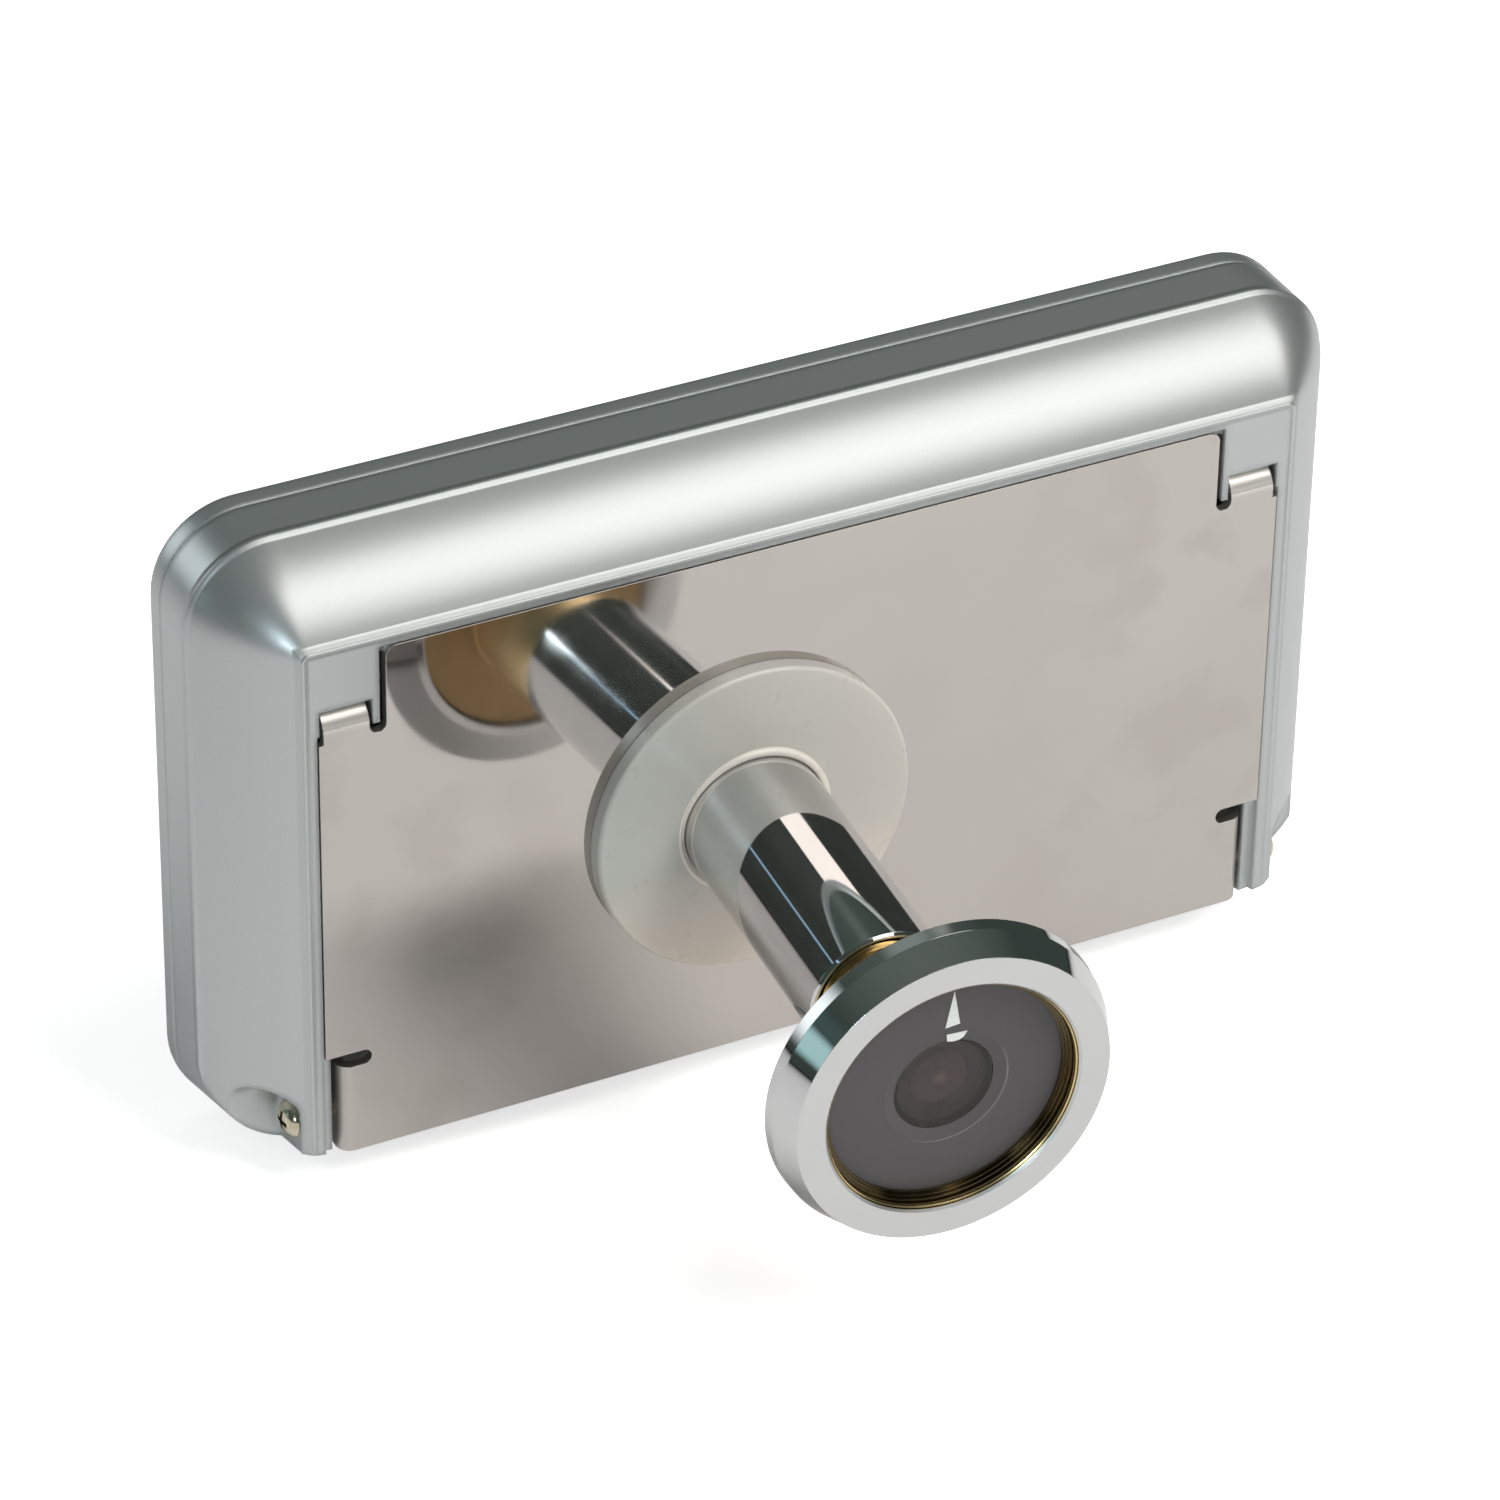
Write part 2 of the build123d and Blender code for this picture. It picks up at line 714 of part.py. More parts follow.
with BuildPart() as main_board:
    with BuildSketch(upright(board_front)) as board_outline:
        panel(board_left, board_right, board_bottom, board_top)
        fillet(board_outline.vertices().group_by(Axis.Y)[0].sort_by(Axis.X)[-1], board_corner)
        with Locations(*case_screw_places, *board_screw_places):
            Circle(screw_hole_radius, mode=Mode.SUBTRACT)
    extrude(amount=board_thickness)
main_board.part.label = "main_board"
export_step(main_board.part, "parts/main_board.step")

with BuildPart() as camera_socket:
    extrude(slab(board_depth, -case_middle - socket_width / 2, -case_middle + socket_width / 2,
                 -socket_height / 2, socket_height / 2), amount=socket_thickness)
    extrude(slab(board_depth - socket_thickness + socket_slot_depth,
                 socket_thickness / 2 - case_middle - socket_width / 2,
                 socket_width / 2 - socket_thickness / 2 - case_middle,
                 -socket_slot_height / 2, socket_slot_height / 2),
            amount=socket_slot_depth, mode=Mode.SUBTRACT)
camera_socket.part.label = "camera_socket"
export_step(camera_socket.part, "parts/camera_socket.step")


# View button, with its switch on a small board of its own
button_proud = 0.8
button_stroke = 0.7
button_edge_chamfer = 0.4
button_flange_radius = 5.7
button_flange_thickness = 0.8
button_board_width = 9.0
button_board_height = 20.0
switch_size = 6.0
switch_body_height = 3.0
switch_plunger_radius = 1.7
switch_plunger_height = 0.5

button_board_front = button_board_depth + button_board_thickness
switch_top = button_board_front + switch_body_height + switch_plunger_height
button_front = front_depth + button_proud
button_flange_front = front_inside - slide_gap
button_foot = switch_top + button_stroke + slide_gap

with BuildPart() as view_button:
    extrude(discs(button_front, [(button_middle, 0)], button_radius),
            amount=button_front - button_flange_front)
    chamfer(view_button.faces().sort_by(Axis.Y)[-1].edges(), button_edge_chamfer)
    extrude(discs(button_flange_front, [(button_middle, 0)], button_flange_radius),
            amount=button_flange_thickness)
    extrude(discs(button_flange_front, [(button_middle, 0)], switch_plunger_radius),
            amount=button_flange_front - button_foot)
view_button.part.label = "view_button"
export_step(view_button.part, "parts/view_button.step")

with BuildPart() as button_board:
    with BuildSketch(upright(button_board_front)):
        panel(button_middle - button_board_width / 2, button_middle + button_board_width / 2,
              -button_board_height / 2, button_board_height / 2)
        with Locations(*button_post_places):
            Circle(screw_hole_radius, mode=Mode.SUBTRACT)
    extrude(amount=button_board_thickness)
button_board.part.label = "button_board"
export_step(button_board.part, "parts/button_board.step")

with BuildPart() as button_switch:
    extrude(slab(button_board_front + switch_body_height, button_middle - switch_size / 2,
                 button_middle + switch_size / 2, -switch_size / 2, switch_size / 2),
            amount=switch_body_height)
    extrude(discs(switch_top, [(button_middle, 0)], switch_plunger_radius),
            amount=switch_plunger_height)
button_switch.part.label = "button_switch"
export_step(button_switch.part, "parts/button_switch.step")


# Battery door: it slides down out of the recess floor on a lip along each side
door_rib_count = 4
door_rib_pitch = 2.0
door_rib_width = 1.0
door_rib_depth = 0.35
door_rib_share = 0.4

door_bottom = floor_bottom + fit_gap
door_outer_lip = door_lip - bay_wall / 2 - fit_gap
door_inner_lip = door_lip - slide_gap * 2
door_middle = (bay_left + bay_right) / 2

with BuildPart() as battery_door:
    extrude(slab(floor_back - slide_gap, bay_left - door_inner_lip, bay_right + door_inner_lip,
                 door_bottom, bay_top + door_inner_lip),
            amount=floor_thickness - door_lip_thickness - slide_gap * 2)
    extrude(slab(floor_back - slide_gap, bay_left - door_outer_lip, bay_right + door_outer_lip,
                 door_bottom, bay_top + door_outer_lip), amount=floor_thickness - slide_gap)
    with BuildSketch(upright(floor_depth)):
        with Locations((door_middle, door_bottom + door_rib_count * door_rib_pitch)):
            with GridLocations(0, door_rib_pitch, 1, door_rib_count):
                SlotOverall(bay_width * door_rib_share, door_rib_width)
    extrude(amount=-door_rib_depth, mode=Mode.SUBTRACT)
battery_door.part.label = "battery_door"
export_step(battery_door.part, "parts/battery_door.step")


# Battery cells: three of the small pencil size, standing with alternate ends up
contact_width_share = 0.8

with BuildPart() as battery_cells:
    for number in range(cell_places):
        way = 1 if number % 2 == 0 else -1
        foot = bay_bottom + contact_spring_height if way > 0 else bay_top - contact_spring_height
        middle = bay_left + fit_gap + cell_pitch * (number + 1 / 2)
        standing = Plane(
            origin=(case_middle + middle, washer_thickness + cell_middle_depth, foot),
            x_dir=(1, 0, 0), z_dir=(0, 0, way),
        )
        with BuildSketch(standing):
            Circle(cell_radius)
        extrude(amount=cell_length - cell_nub_height)
        with BuildSketch(standing):
            Circle(cell_nub_radius)
        extrude(amount=cell_length)
battery_cells.part.label = "battery_cells"
export_step(battery_cells.part, "parts/battery_cells.step")


# Battery contacts: a flat plate for each raised end and a bent leaf spring for each flat end
contact_width = 2 * cell_radius * contact_width_share
with BuildPart() as battery_contacts:
    for number in range(cell_places):
        way = 1 if number % 2 == 0 else -1
        spring_end = bay_bottom if way > 0 else bay_top
        plate_end = bay_top if way > 0 else bay_bottom
        middle = bay_left + fit_gap + cell_pitch * (number + 1 / 2)
        near = cell_middle_depth - contact_width / 2
        far = cell_middle_depth + contact_width / 2
        low, high = sorted((plate_end, plate_end - way * contact_thickness))
        extrude(slab(far, middle - contact_width / 2, middle + contact_width / 2, low, high),
                amount=contact_width)
        top_of_spring = spring_end + way * (contact_spring_height - contact_thickness - slide_gap)
        leaf = [(near, spring_end), (far, spring_end), (near, top_of_spring), (far, top_of_spring)]
        extrude(strip(leaf, contact_thickness * 2, contact_thickness, beside(middle - contact_width / 2),
                      Side.LEFT if way > 0 else Side.RIGHT), amount=contact_width)
battery_contacts.part.label = "battery_contacts"
export_step(battery_contacts.part, "parts/battery_contacts.step")


# Screws: two lock screws through the flanks, two case screws and four for the boards
for name, side in (("left", -1), ("right", 1)):
    with BuildPart() as lock_screw:
        pan_screw(Plane(
            origin=(case_middle + side * notch_inner, washer_thickness + lock_screw_depth,
                    lock_screw_height),
            x_dir=(0, 1, 0), z_dir=(side, 0, 0),
        ), notch_inner - flange_outer - slide_gap)
    lock_screw.part.label = "lock_screw_" + name
    export_step(lock_screw.part, "parts/lock_screw_" + name + ".step")

with BuildPart() as case_screws:
    for across, height in case_screw_places:
        pan_screw(Plane(
            origin=(case_middle + across, washer_thickness + screw_seat_depth, height),
            x_dir=(1, 0, 0), z_dir=(0, -1, 0),
        ), case_screw_length)
case_screws.part.label = "case_screws"
export_step(case_screws.part, "parts/case_screws.step")

with BuildPart() as board_screws:
    for across, height in board_screw_places:
        pan_screw(Plane(
            origin=(case_middle + across, washer_thickness + board_depth, height),
            x_dir=(1, 0, 0), z_dir=(0, -1, 0),
        ), board_screw_length)
    for across, height in button_post_places:
        pan_screw(Plane(
            origin=(case_middle + across, washer_thickness + button_board_front, height),
            x_dir=(1, 0, 0), z_dir=(0, 1, 0),
        ), board_screw_length)
board_screws.part.label = "board_screws"
export_step(board_screws.part, "parts/board_screws.step")
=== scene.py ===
import json
from math import cos, pi, radians, sin
import bmesh
import bpy
from mathutils import Matrix, Quaternion, Vector


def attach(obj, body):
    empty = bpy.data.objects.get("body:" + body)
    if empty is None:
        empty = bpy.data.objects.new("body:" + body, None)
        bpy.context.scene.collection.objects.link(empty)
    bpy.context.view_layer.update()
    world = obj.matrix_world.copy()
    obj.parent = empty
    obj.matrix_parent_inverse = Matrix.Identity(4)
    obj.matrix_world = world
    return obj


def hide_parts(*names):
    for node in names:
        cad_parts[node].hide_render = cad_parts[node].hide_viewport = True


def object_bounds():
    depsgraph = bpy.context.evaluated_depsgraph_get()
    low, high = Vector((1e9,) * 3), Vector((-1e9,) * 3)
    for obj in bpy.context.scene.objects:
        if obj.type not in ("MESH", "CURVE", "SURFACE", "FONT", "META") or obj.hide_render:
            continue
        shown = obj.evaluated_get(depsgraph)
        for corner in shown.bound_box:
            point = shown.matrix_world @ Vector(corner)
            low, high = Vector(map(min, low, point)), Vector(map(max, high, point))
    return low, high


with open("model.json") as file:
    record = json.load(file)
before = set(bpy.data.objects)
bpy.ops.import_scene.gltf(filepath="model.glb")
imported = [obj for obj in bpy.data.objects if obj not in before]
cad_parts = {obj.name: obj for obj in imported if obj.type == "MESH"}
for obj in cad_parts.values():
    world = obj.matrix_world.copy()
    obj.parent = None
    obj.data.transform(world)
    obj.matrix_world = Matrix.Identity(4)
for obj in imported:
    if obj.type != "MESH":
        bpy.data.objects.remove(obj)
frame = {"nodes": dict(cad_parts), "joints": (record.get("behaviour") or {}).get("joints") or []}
nodes = frame["nodes"]
cad_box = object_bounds()
mm = 0.001

# Camera: a long lens that looks down at the visitor's side of the viewer from the left, held
# with a slight roll.
photo_size = 1500
focal_length_pixels = 7246.2
sensor_width = 36.0
aim = Vector((6.1, 13.23, -1.7)) * mm
camera_distance = 728.2 * mm
camera_azimuth = radians(-27.28)
camera_elevation = radians(33.99)
camera_roll = radians(1.01)

away = Vector((sin(camera_azimuth) * cos(camera_elevation),
               -cos(camera_azimuth) * cos(camera_elevation), sin(camera_elevation)))
camera = bpy.data.objects.new("camera", bpy.data.cameras.new("camera"))
camera.data.sensor_width = sensor_width
camera.data.lens = sensor_width * focal_length_pixels / photo_size
camera.data.clip_start = camera_distance / 10
camera.data.clip_end = camera_distance * 20
camera.rotation_mode = "QUATERNION"
camera.location = aim + away * camera_distance
camera.rotation_quaternion = (-away).to_track_quat("-Z", "Y") @ Quaternion((0, 0, 1), camera_roll)
bpy.context.scene.collection.objects.link(camera)
bpy.context.scene.camera = camera
bpy.context.scene.view_settings.view_transform = "Standard"

# Table: a large sheet of white paper under the viewer, darker away from the lamps. The camera
# also sees it glow, so that only a soft shadow is left of it.
paper_size = 2400 * mm
paper_lit = 0.98
paper_unlit = 0.06
paper_fade = (280 * mm, 900 * mm)
paper_glow = 0.66


def link(tree, *pairs):
    """Join sockets of a node tree, given as (from, to) pairs."""
    for source, target in pairs:
        tree.links.new(source, target)


def fill(tree, socket, value):
    """Give an input a number, a colour or the output of another node."""
    if isinstance(value, bpy.types.NodeSocket):
        tree.links.new(value, socket)
    else:
        socket.default_value = value


def maths(tree, operation, *values):
    """A math node on numbers or sockets, as its output."""
    node = tree.nodes.new("ShaderNodeMath")
    node.operation = operation
    for socket, value in zip(node.inputs, values):
        fill(tree, socket, value)
    return node.outputs[0]


half = paper_size / 2
paper_height = cad_box[0].z
paper_mesh = bpy.data.meshes.new("paper")
paper_mesh.from_pydata([(-half, -half, paper_height), (half, -half, paper_height),
                        (half, half, paper_height), (-half, half, paper_height)], [], [(0, 1, 2, 3)])
paper = bpy.data.objects.new("paper", paper_mesh)
bpy.context.scene.collection.objects.link(paper)
paper_finish = bpy.data.materials.new("paper")
paper_finish.use_nodes = True
tree = paper_finish.node_tree
tree.nodes.clear()
matt = tree.nodes.new("ShaderNodeBsdfDiffuse")
glow = tree.nodes.new("ShaderNodeEmission")
both = tree.nodes.new("ShaderNodeAddShader")
out = tree.nodes.new("ShaderNodeOutputMaterial")
path = tree.nodes.new("ShaderNodeLightPath")
place = tree.nodes.new("ShaderNodeTexCoord")
reach = tree.nodes.new("ShaderNodeVectorMath")
reach.operation = "LENGTH"
fade = tree.nodes.new("ShaderNodeMapRange")
fade.interpolation_type = "SMOOTHSTEP"
fade.inputs["From Min"].default_value, fade.inputs["From Max"].default_value = paper_fade
fade.inputs["To Min"].default_value, fade.inputs["To Max"].default_value = paper_lit, paper_unlit
link(tree, (place.outputs["Object"], reach.inputs[0]), (reach.outputs["Value"], fade.inputs["Value"]),
     (fade.outputs["Result"], matt.inputs["Color"]),
     (maths(tree, "MULTIPLY", path.outputs["Is Camera Ray"], paper_glow), glow.inputs["Strength"]),
     (matt.outputs[0], both.inputs[0]), (glow.outputs[0], both.inputs[1]),
     (both.outputs[0], out.inputs["Surface"]))
paper.data.materials.append(paper_finish)

# Room: white behind the table for the camera and through glass, an even light for matt
# surfaces, and for metal the dim green-grey walls with their soft patches of window light.
wall_colour = (0.050, 0.066, 0.058, 1)
ceiling_colour = (0.135, 0.158, 0.145, 1)
wall_end_share = 0.55
even_light = 0.34
# direction, angle of the bright middle, angle where it ends, colour
window_patches = (
    ((-0.97, 0.12, 0.22), 3, 10, (0.45, 0.70, 0.72)),
    ((-0.84, 0.30, 0.45), 3, 16, (0.05, 0.13, 0.13)),
    ((0.38, 0.34, 0.854), 3, 14, (1.30, 1.30, 1.24)),
    ((0.38, -0.90, 0.12), 4, 15, (0.76, 0.76, 0.72)),
    ((-0.60, 0.74, 0.31), 5, 21, (1.62, 1.72, 1.77)),
    ((0.05, 0.50, 0.86), 3, 16, (0.16, 0.18, 0.17)),
)


def colours_of(sockets):
    """The colour sockets among a mix node's inputs or outputs."""
    return [socket for socket in sockets if socket.type == "RGBA"]


world = bpy.data.worlds.new("room")
bpy.context.scene.world = world
world.use_nodes = True
tree = world.node_tree
tree.nodes.clear()
where = tree.nodes.new("ShaderNodeTexCoord")
height = tree.nodes.new("ShaderNodeSeparateXYZ")
ramp = tree.nodes.new("ShaderNodeValToRGB")
ramp.color_ramp.elements[0].position = wall_end_share
ramp.color_ramp.elements[0].color = wall_colour
ramp.color_ramp.elements[1].color = ceiling_colour
link(tree, (where.outputs["Generated"], height.inputs[0]), (height.outputs["Z"], ramp.inputs[0]))
room_colour = ramp.outputs["Color"]
for direction, middle_angle, end_angle, colour in window_patches:
    facing = tree.nodes.new("ShaderNodeVectorMath")
    facing.operation = "DOT_PRODUCT"
    facing.inputs[1].default_value = Vector(direction).normalized()
    spread = tree.nodes.new("ShaderNodeMapRange")
    spread.interpolation_type = "SMOOTHSTEP"
    spread.inputs["From Min"].default_value = cos(radians(end_angle))
    spread.inputs["From Max"].default_value = cos(radians(middle_angle))
    add = tree.nodes.new("ShaderNodeMix")
    add.data_type = "RGBA"
    add.blend_type = "ADD"
    below, above = colours_of(add.inputs)
    above.default_value = (*colour, 1)
    link(tree, (where.outputs["Generated"], facing.inputs[0]),
         (facing.outputs["Value"], spread.inputs["Value"]),
         (spread.outputs["Result"], add.inputs[0]), (room_colour, below))
    room_colour = colours_of(add.outputs)[0]
room = tree.nodes.new("ShaderNodeBackground")
even = tree.nodes.new("ShaderNodeBackground")
even.inputs["Strength"].default_value = even_light
white = tree.nodes.new("ShaderNodeBackground")
white.inputs["Color"].default_value = (1, 1, 1, 1)
matt_or_metal = tree.nodes.new("ShaderNodeMixShader")
seen_or_not = tree.nodes.new("ShaderNodeMixShader")
path = tree.nodes.new("ShaderNodeLightPath")
out = tree.nodes.new("ShaderNodeOutputWorld")
seen = maths(tree, "MAXIMUM", path.outputs["Is Camera Ray"], path.outputs["Is Transmission Ray"])
link(tree, (room_colour, room.inputs["Color"]),
     (path.outputs["Is Diffuse Ray"], matt_or_metal.inputs[0]),
     (room.outputs[0], matt_or_metal.inputs[1]), (even.outputs[0], matt_or_metal.inputs[2]),
     (seen, seen_or_not.inputs[0]), (matt_or_metal.outputs[0], seen_or_not.inputs[1]),
     (white.outputs[0], seen_or_not.inputs[2]), (seen_or_not.outputs[0], out.inputs["Surface"]))

# Lamps: the key hangs over the visitor's side, to the right. Its cloth face, which metal and
# gloss pick up, is apart from the bulbs behind it. A narrow blue lamp and a small window stand
# at the left, and a low lamp fills in from the front.
upright, level = (0, 0, 1), (0, 1, 0)
# name: direction, distance, width and height in metres, way that the height points,
# power in watts, colour, seen by gloss, lights matt surfaces
lamps = {
    "key_bulbs": ((0.38, -0.475, 0.796), 1.0, 0.60, 0.60, upright,
                  7.9, (1.0, 0.98, 0.955), False, True),
    "key_cloth": ((0.38, -0.48, 0.80), 1.0, 0.80, 0.52, upright,
                  3.35, (1.0, 0.945, 0.915), True, False),
    "side_strip": ((-0.56, -0.735, 0.385), 1.1, 0.036, 0.30, level,
                   0.045, (0.42, 0.70, 1.0), True, False),
    "window": ((-0.50, -0.82, 0.30), 1.0, 0.19, 0.19, level,
               1.5, (0.80, 0.93, 1.0), True, False),
    "front_fill": ((-0.25, -0.95, 0.14), 1.2, 0.60, 0.35, upright,
                   1.8, (0.95, 0.98, 1.0), False, True),
}
for name, (direction, distance, width, tall, upward, *light) in lamps.items():
    power, colour, in_gloss, on_matt = light
    lamp = bpy.data.lights.new(name, "AREA")
    lamp.shape = "RECTANGLE"
    lamp.size, lamp.size_y = width, tall
    lamp.energy = power
    lamp.color = colour
    lamp_object = bpy.data.objects.new(name, lamp)
    back = Vector(direction).normalized()
    sideways = Vector(upward).cross(back).normalized()
    facing = Matrix((sideways, back.cross(sideways), back)).transposed()
    lamp_object.location = back * distance
    lamp_object.rotation_mode = "QUATERNION"
    lamp_object.rotation_quaternion = facing.to_quaternion()
    lamp_object.visible_camera = False
    lamp_object.visible_glossy = in_gloss
    lamp_object.visible_diffuse = on_matt
    bpy.context.scene.collection.objects.link(lamp_object)

# Mounting plate: stainless sheet a millimetre thick, cut and bent in one piece and polished
# almost to a mirror. Handling left smudges on it, and its bends are duller than its face. The
# bends of its upper tabs are painted lighter, more so to the right: a painted highlight.
steel_dark = (0.530, 0.495, 0.470, 1)
steel_light = (0.600, 0.568, 0.545, 1)
steel_stain = (0.505, 0.468, 0.444, 1)
steel_roughness = (0.025, 0.085)
bend_roughness = 0.34
plate_middle = 6.7 * mm
plate_face_depth = 1.8 * mm
bend_depths = (plate_face_depth + 0.01 * mm, plate_face_depth + 0.2 * mm)
# Painted highlight on the bends of the upper tabs: its colour at the left and right ends, and the
# span between them
tab_highlight_left = (0.80, 0.765, 0.73, 1)
tab_highlight_right = (0.98, 0.94, 0.90, 1)
tab_highlight_span = (-40 * mm, 50 * mm)
smudge_size = 14 * mm
smudge_contrast = (0.35, 0.65)
stain_size = 9 * mm
stain_contrast = (0.50, 0.62)
stain_strength = 0.6
# Stains are faint up to the first distance from the middle, and full past the second
stain_distances = (20 * mm, 40 * mm)
stain_in_middle = 0.15
polish_line_size = 0.5 * mm
polish_line_stretch = (1, 1, 0.05)
# Height, strength and softened edge, as in every relief
polish_relief = (0.002 * mm, 0.15, 0.12 * mm)
noise_middle = (0.3, 0.7)


def coat(name, colour, metallic, roughness, **sockets):
    """A material with one principled shader. Values that are the same all over go on its sockets."""
    material = bpy.data.materials.new(name)
    material.use_nodes = True
    shader = material.node_tree.nodes["Principled BSDF"]
    shader.inputs["Base Color"].default_value = colour
    shader.inputs["Metallic"].default_value = metallic
    shader.inputs["Roughness"].default_value = roughness
    for socket, value in sockets.items():
        shader.inputs[socket.replace("_", " ")].default_value = value
    return material


def pattern(material, size, stretch=(1, 1, 1), detail=3.0):
    """Noise on the piece's own coordinates, about size metres across, from 0 to 1."""
    tree = material.node_tree
    place = tree.nodes.new("ShaderNodeTexCoord")
    mapping = tree.nodes.new("ShaderNodeMapping")
    mapping.inputs["Scale"].default_value = stretch
    noise = tree.nodes.new("ShaderNodeTexNoise")
    noise.inputs["Scale"].default_value = 1 / size
    noise.inputs["Detail"].default_value = detail
    link(tree, (place.outputs["Object"], mapping.inputs["Vector"]),
         (mapping.outputs["Vector"], noise.inputs["Vector"]))
    return noise.outputs["Fac"]


def between(material, source, from_low, from_high, to_low, to_high):
    """Spread a value from one range to another, and stop at its ends."""
    tree = material.node_tree
    spread = tree.nodes.new("ShaderNodeMapRange")
    for socket, value in zip(list(spread.inputs)[1:5], (from_low, from_high, to_low, to_high)):
        socket.default_value = value
    link(tree, (source, spread.inputs["Value"]))
    return spread.outputs["Result"]


def blend(material, share, low, high):
    """Mix two colours, or sockets that carry one, by a share from 0 to 1."""
    tree = material.node_tree
    mix = tree.nodes.new("ShaderNodeMix")
    mix.data_type = "RGBA"
    first, second = colours_of(mix.inputs)
    fill(tree, first, low)
    fill(tree, second, high)
    fill(tree, mix.inputs[0], share)
    return colours_of(mix.outputs)[0]


def drive(material, socket, source):
    """Lead a value or a colour to a socket of the material's shader."""
    link(material.node_tree, (source, material.node_tree.nodes["Principled BSDF"].inputs[socket]))


def wander(material, size, low, high, detail=3.0):
    """A value that drifts between two ends, in patches about size metres across."""
    return between(material, pattern(material, size, detail=detail), *noise_middle, low, high)


def vary(material, size, dark, light, smooth, rough, detail=3.0):
    """Let colour and roughness wander between two values each, on one noise."""
    noise = wander(material, size, 0, 1, detail)
    drive(material, "Base Color", blend(material, noise, dark, light))
    drive(material, "Roughness", between(material, noise, 0, 1, smooth, rough))


def relief(material, source, height, strength, edge):
    """Raise a pattern by a height in metres, on a surface whose edges are softened by a radius."""
    tree = material.node_tree
    soft = tree.nodes.new("ShaderNodeBevel")
    soft.inputs["Radius"].default_value = edge
    bump = tree.nodes.new("ShaderNodeBump")
    bump.inputs["Distance"].default_value = height
    bump.inputs["Strength"].default_value = strength
    link(tree, (soft.outputs["Normal"], bump.inputs["Normal"]), (source, bump.inputs["Height"]))
    drive(material, "Normal", bump.outputs["Normal"])


def dress(material, *names):
    """Give a material to nodes of the frame."""
    for name in names:
        for slot in nodes[name].material_slots:
            slot.material = material


def along(material, axis):
    """The piece's own coordinate along X, Y or Z, in metres."""
    tree = material.node_tree
    place = tree.nodes.new("ShaderNodeTexCoord")
    split = tree.nodes.new("ShaderNodeSeparateXYZ")
    link(tree, (place.outputs["Object"], split.inputs[0]))
    return split.outputs[axis]


steel = coat("polished_steel", steel_dark, metallic=0.97, roughness=0.07)
tree = steel.node_tree
bent = between(steel, along(steel, "Y"), *bend_depths, 0, 1)
smudged = between(steel, pattern(steel, smudge_size), *smudge_contrast, *steel_roughness)
on_bend = maths(tree, "MULTIPLY", bent, bend_roughness)
drive(steel, "Roughness", maths(tree, "ADD", smudged, on_bend))
clouded = blend(steel, pattern(steel, smudge_size * 2, detail=2.0), steel_dark, steel_light)
stained = between(steel, pattern(steel, stain_size, detail=6.0), *stain_contrast, 0, stain_strength)
from_middle = maths(tree, "ABSOLUTE", maths(tree, "SUBTRACT", along(steel, "X"), plate_middle))
near_side = between(steel, from_middle, *stain_distances, stain_in_middle, 1)
sheet_colour = blend(steel, maths(tree, "MULTIPLY", stained, near_side), clouded, steel_stain)
# Painted highlight: the bends of the upper tabs are painted lighter, more so to the right
tab_highlight_colour = blend(steel, between(steel, along(steel, "X"), *tab_highlight_span, 0, 1), tab_highlight_left, tab_highlight_right)
on_tab_highlight = maths(tree, "MULTIPLY", bent, maths(tree, "GREATER_THAN", along(steel, "Z"), 0.0))
drive(steel, "Base Color", blend(steel, on_tab_highlight, sheet_colour, tab_highlight_colour))
relief(steel, pattern(steel, polish_line_size, polish_line_stretch), *polish_relief)
dress(steel, "mounting_plate")

# Gasket washer: a moulded ring of soft milky plastic between the plate and the door's paint.
# The rim round its bore is raised a little and hugs the sleeve. It lets some light through.
# Its colour carries painted shading: darker on the left, lighter on the right and towards the
# bottom, and the rim round the bore is painted lighter still.
# Painted light and shade: the shaded left side, the lit right side, the lighter bottom and the
# lighter rim round the bore
washer_shaded_side = (0.455, 0.475, 0.440, 1)
washer_lit_side = (0.600, 0.575, 0.530, 1)
washer_bottom_painted_light = (0.72, 0.64, 0.56, 1)
washer_lip_painted_light = (0.80, 0.75, 0.67, 1)
washer_reach = 14 * mm
washer_lip_radius = 8.3 * mm
washer_scatter_depth = 2 * mm
washer_cloud_size = 3 * mm
washer_roughness = (0.26, 0.38)
washer_grain_size = 1.5 * mm
washer_relief = (0.008 * mm, 0.2, 0.25 * mm)
# (radius, distance towards the street) of the rim, in millimetres
washer_rim = ((7.52, 0.2), (7.52, 1.86), (7.62, 1.96), (7.85, 2.0), (8.12, 1.92), (8.28, 1.74),
              (8.28, 0.2), (7.52, 0.2))
turned_facets = 80
sharp_angle = radians(28)

draw = next(joint for joint in frame["joints"] if joint["name"] == "camera_draw")
turn = next(joint for joint in frame["joints"] if joint["name"] == "sleeve_turn")
barrel_direction = Vector(draw["axis"]).normalized()
barrel_foot = Vector(turn["pos_m"])
barrel_right = barrel_direction.cross(Vector((0, 0, 1))).normalized()
barrel_up = barrel_right.cross(barrel_direction)


def vectors(tree, operation, *values):
    """A vector math node on vectors, numbers or sockets, as its output."""
    node = tree.nodes.new("ShaderNodeVectorMath")
    node.operation = operation
    places = [node.inputs[0], node.inputs["Scale"]] if operation == "SCALE" else node.inputs
    for socket, value in zip(places, values):
        fill(tree, socket, value)
    return node.outputs["Value" if operation == "DOT_PRODUCT" else "Vector"]


def diagonal(tree, first, second):
    """The diagonal over two lengths that are square to each other."""
    squares = [maths(tree, "MULTIPLY", length, length) for length in (first, second)]
    return maths(tree, "SQRT", maths(tree, "ADD", *squares))


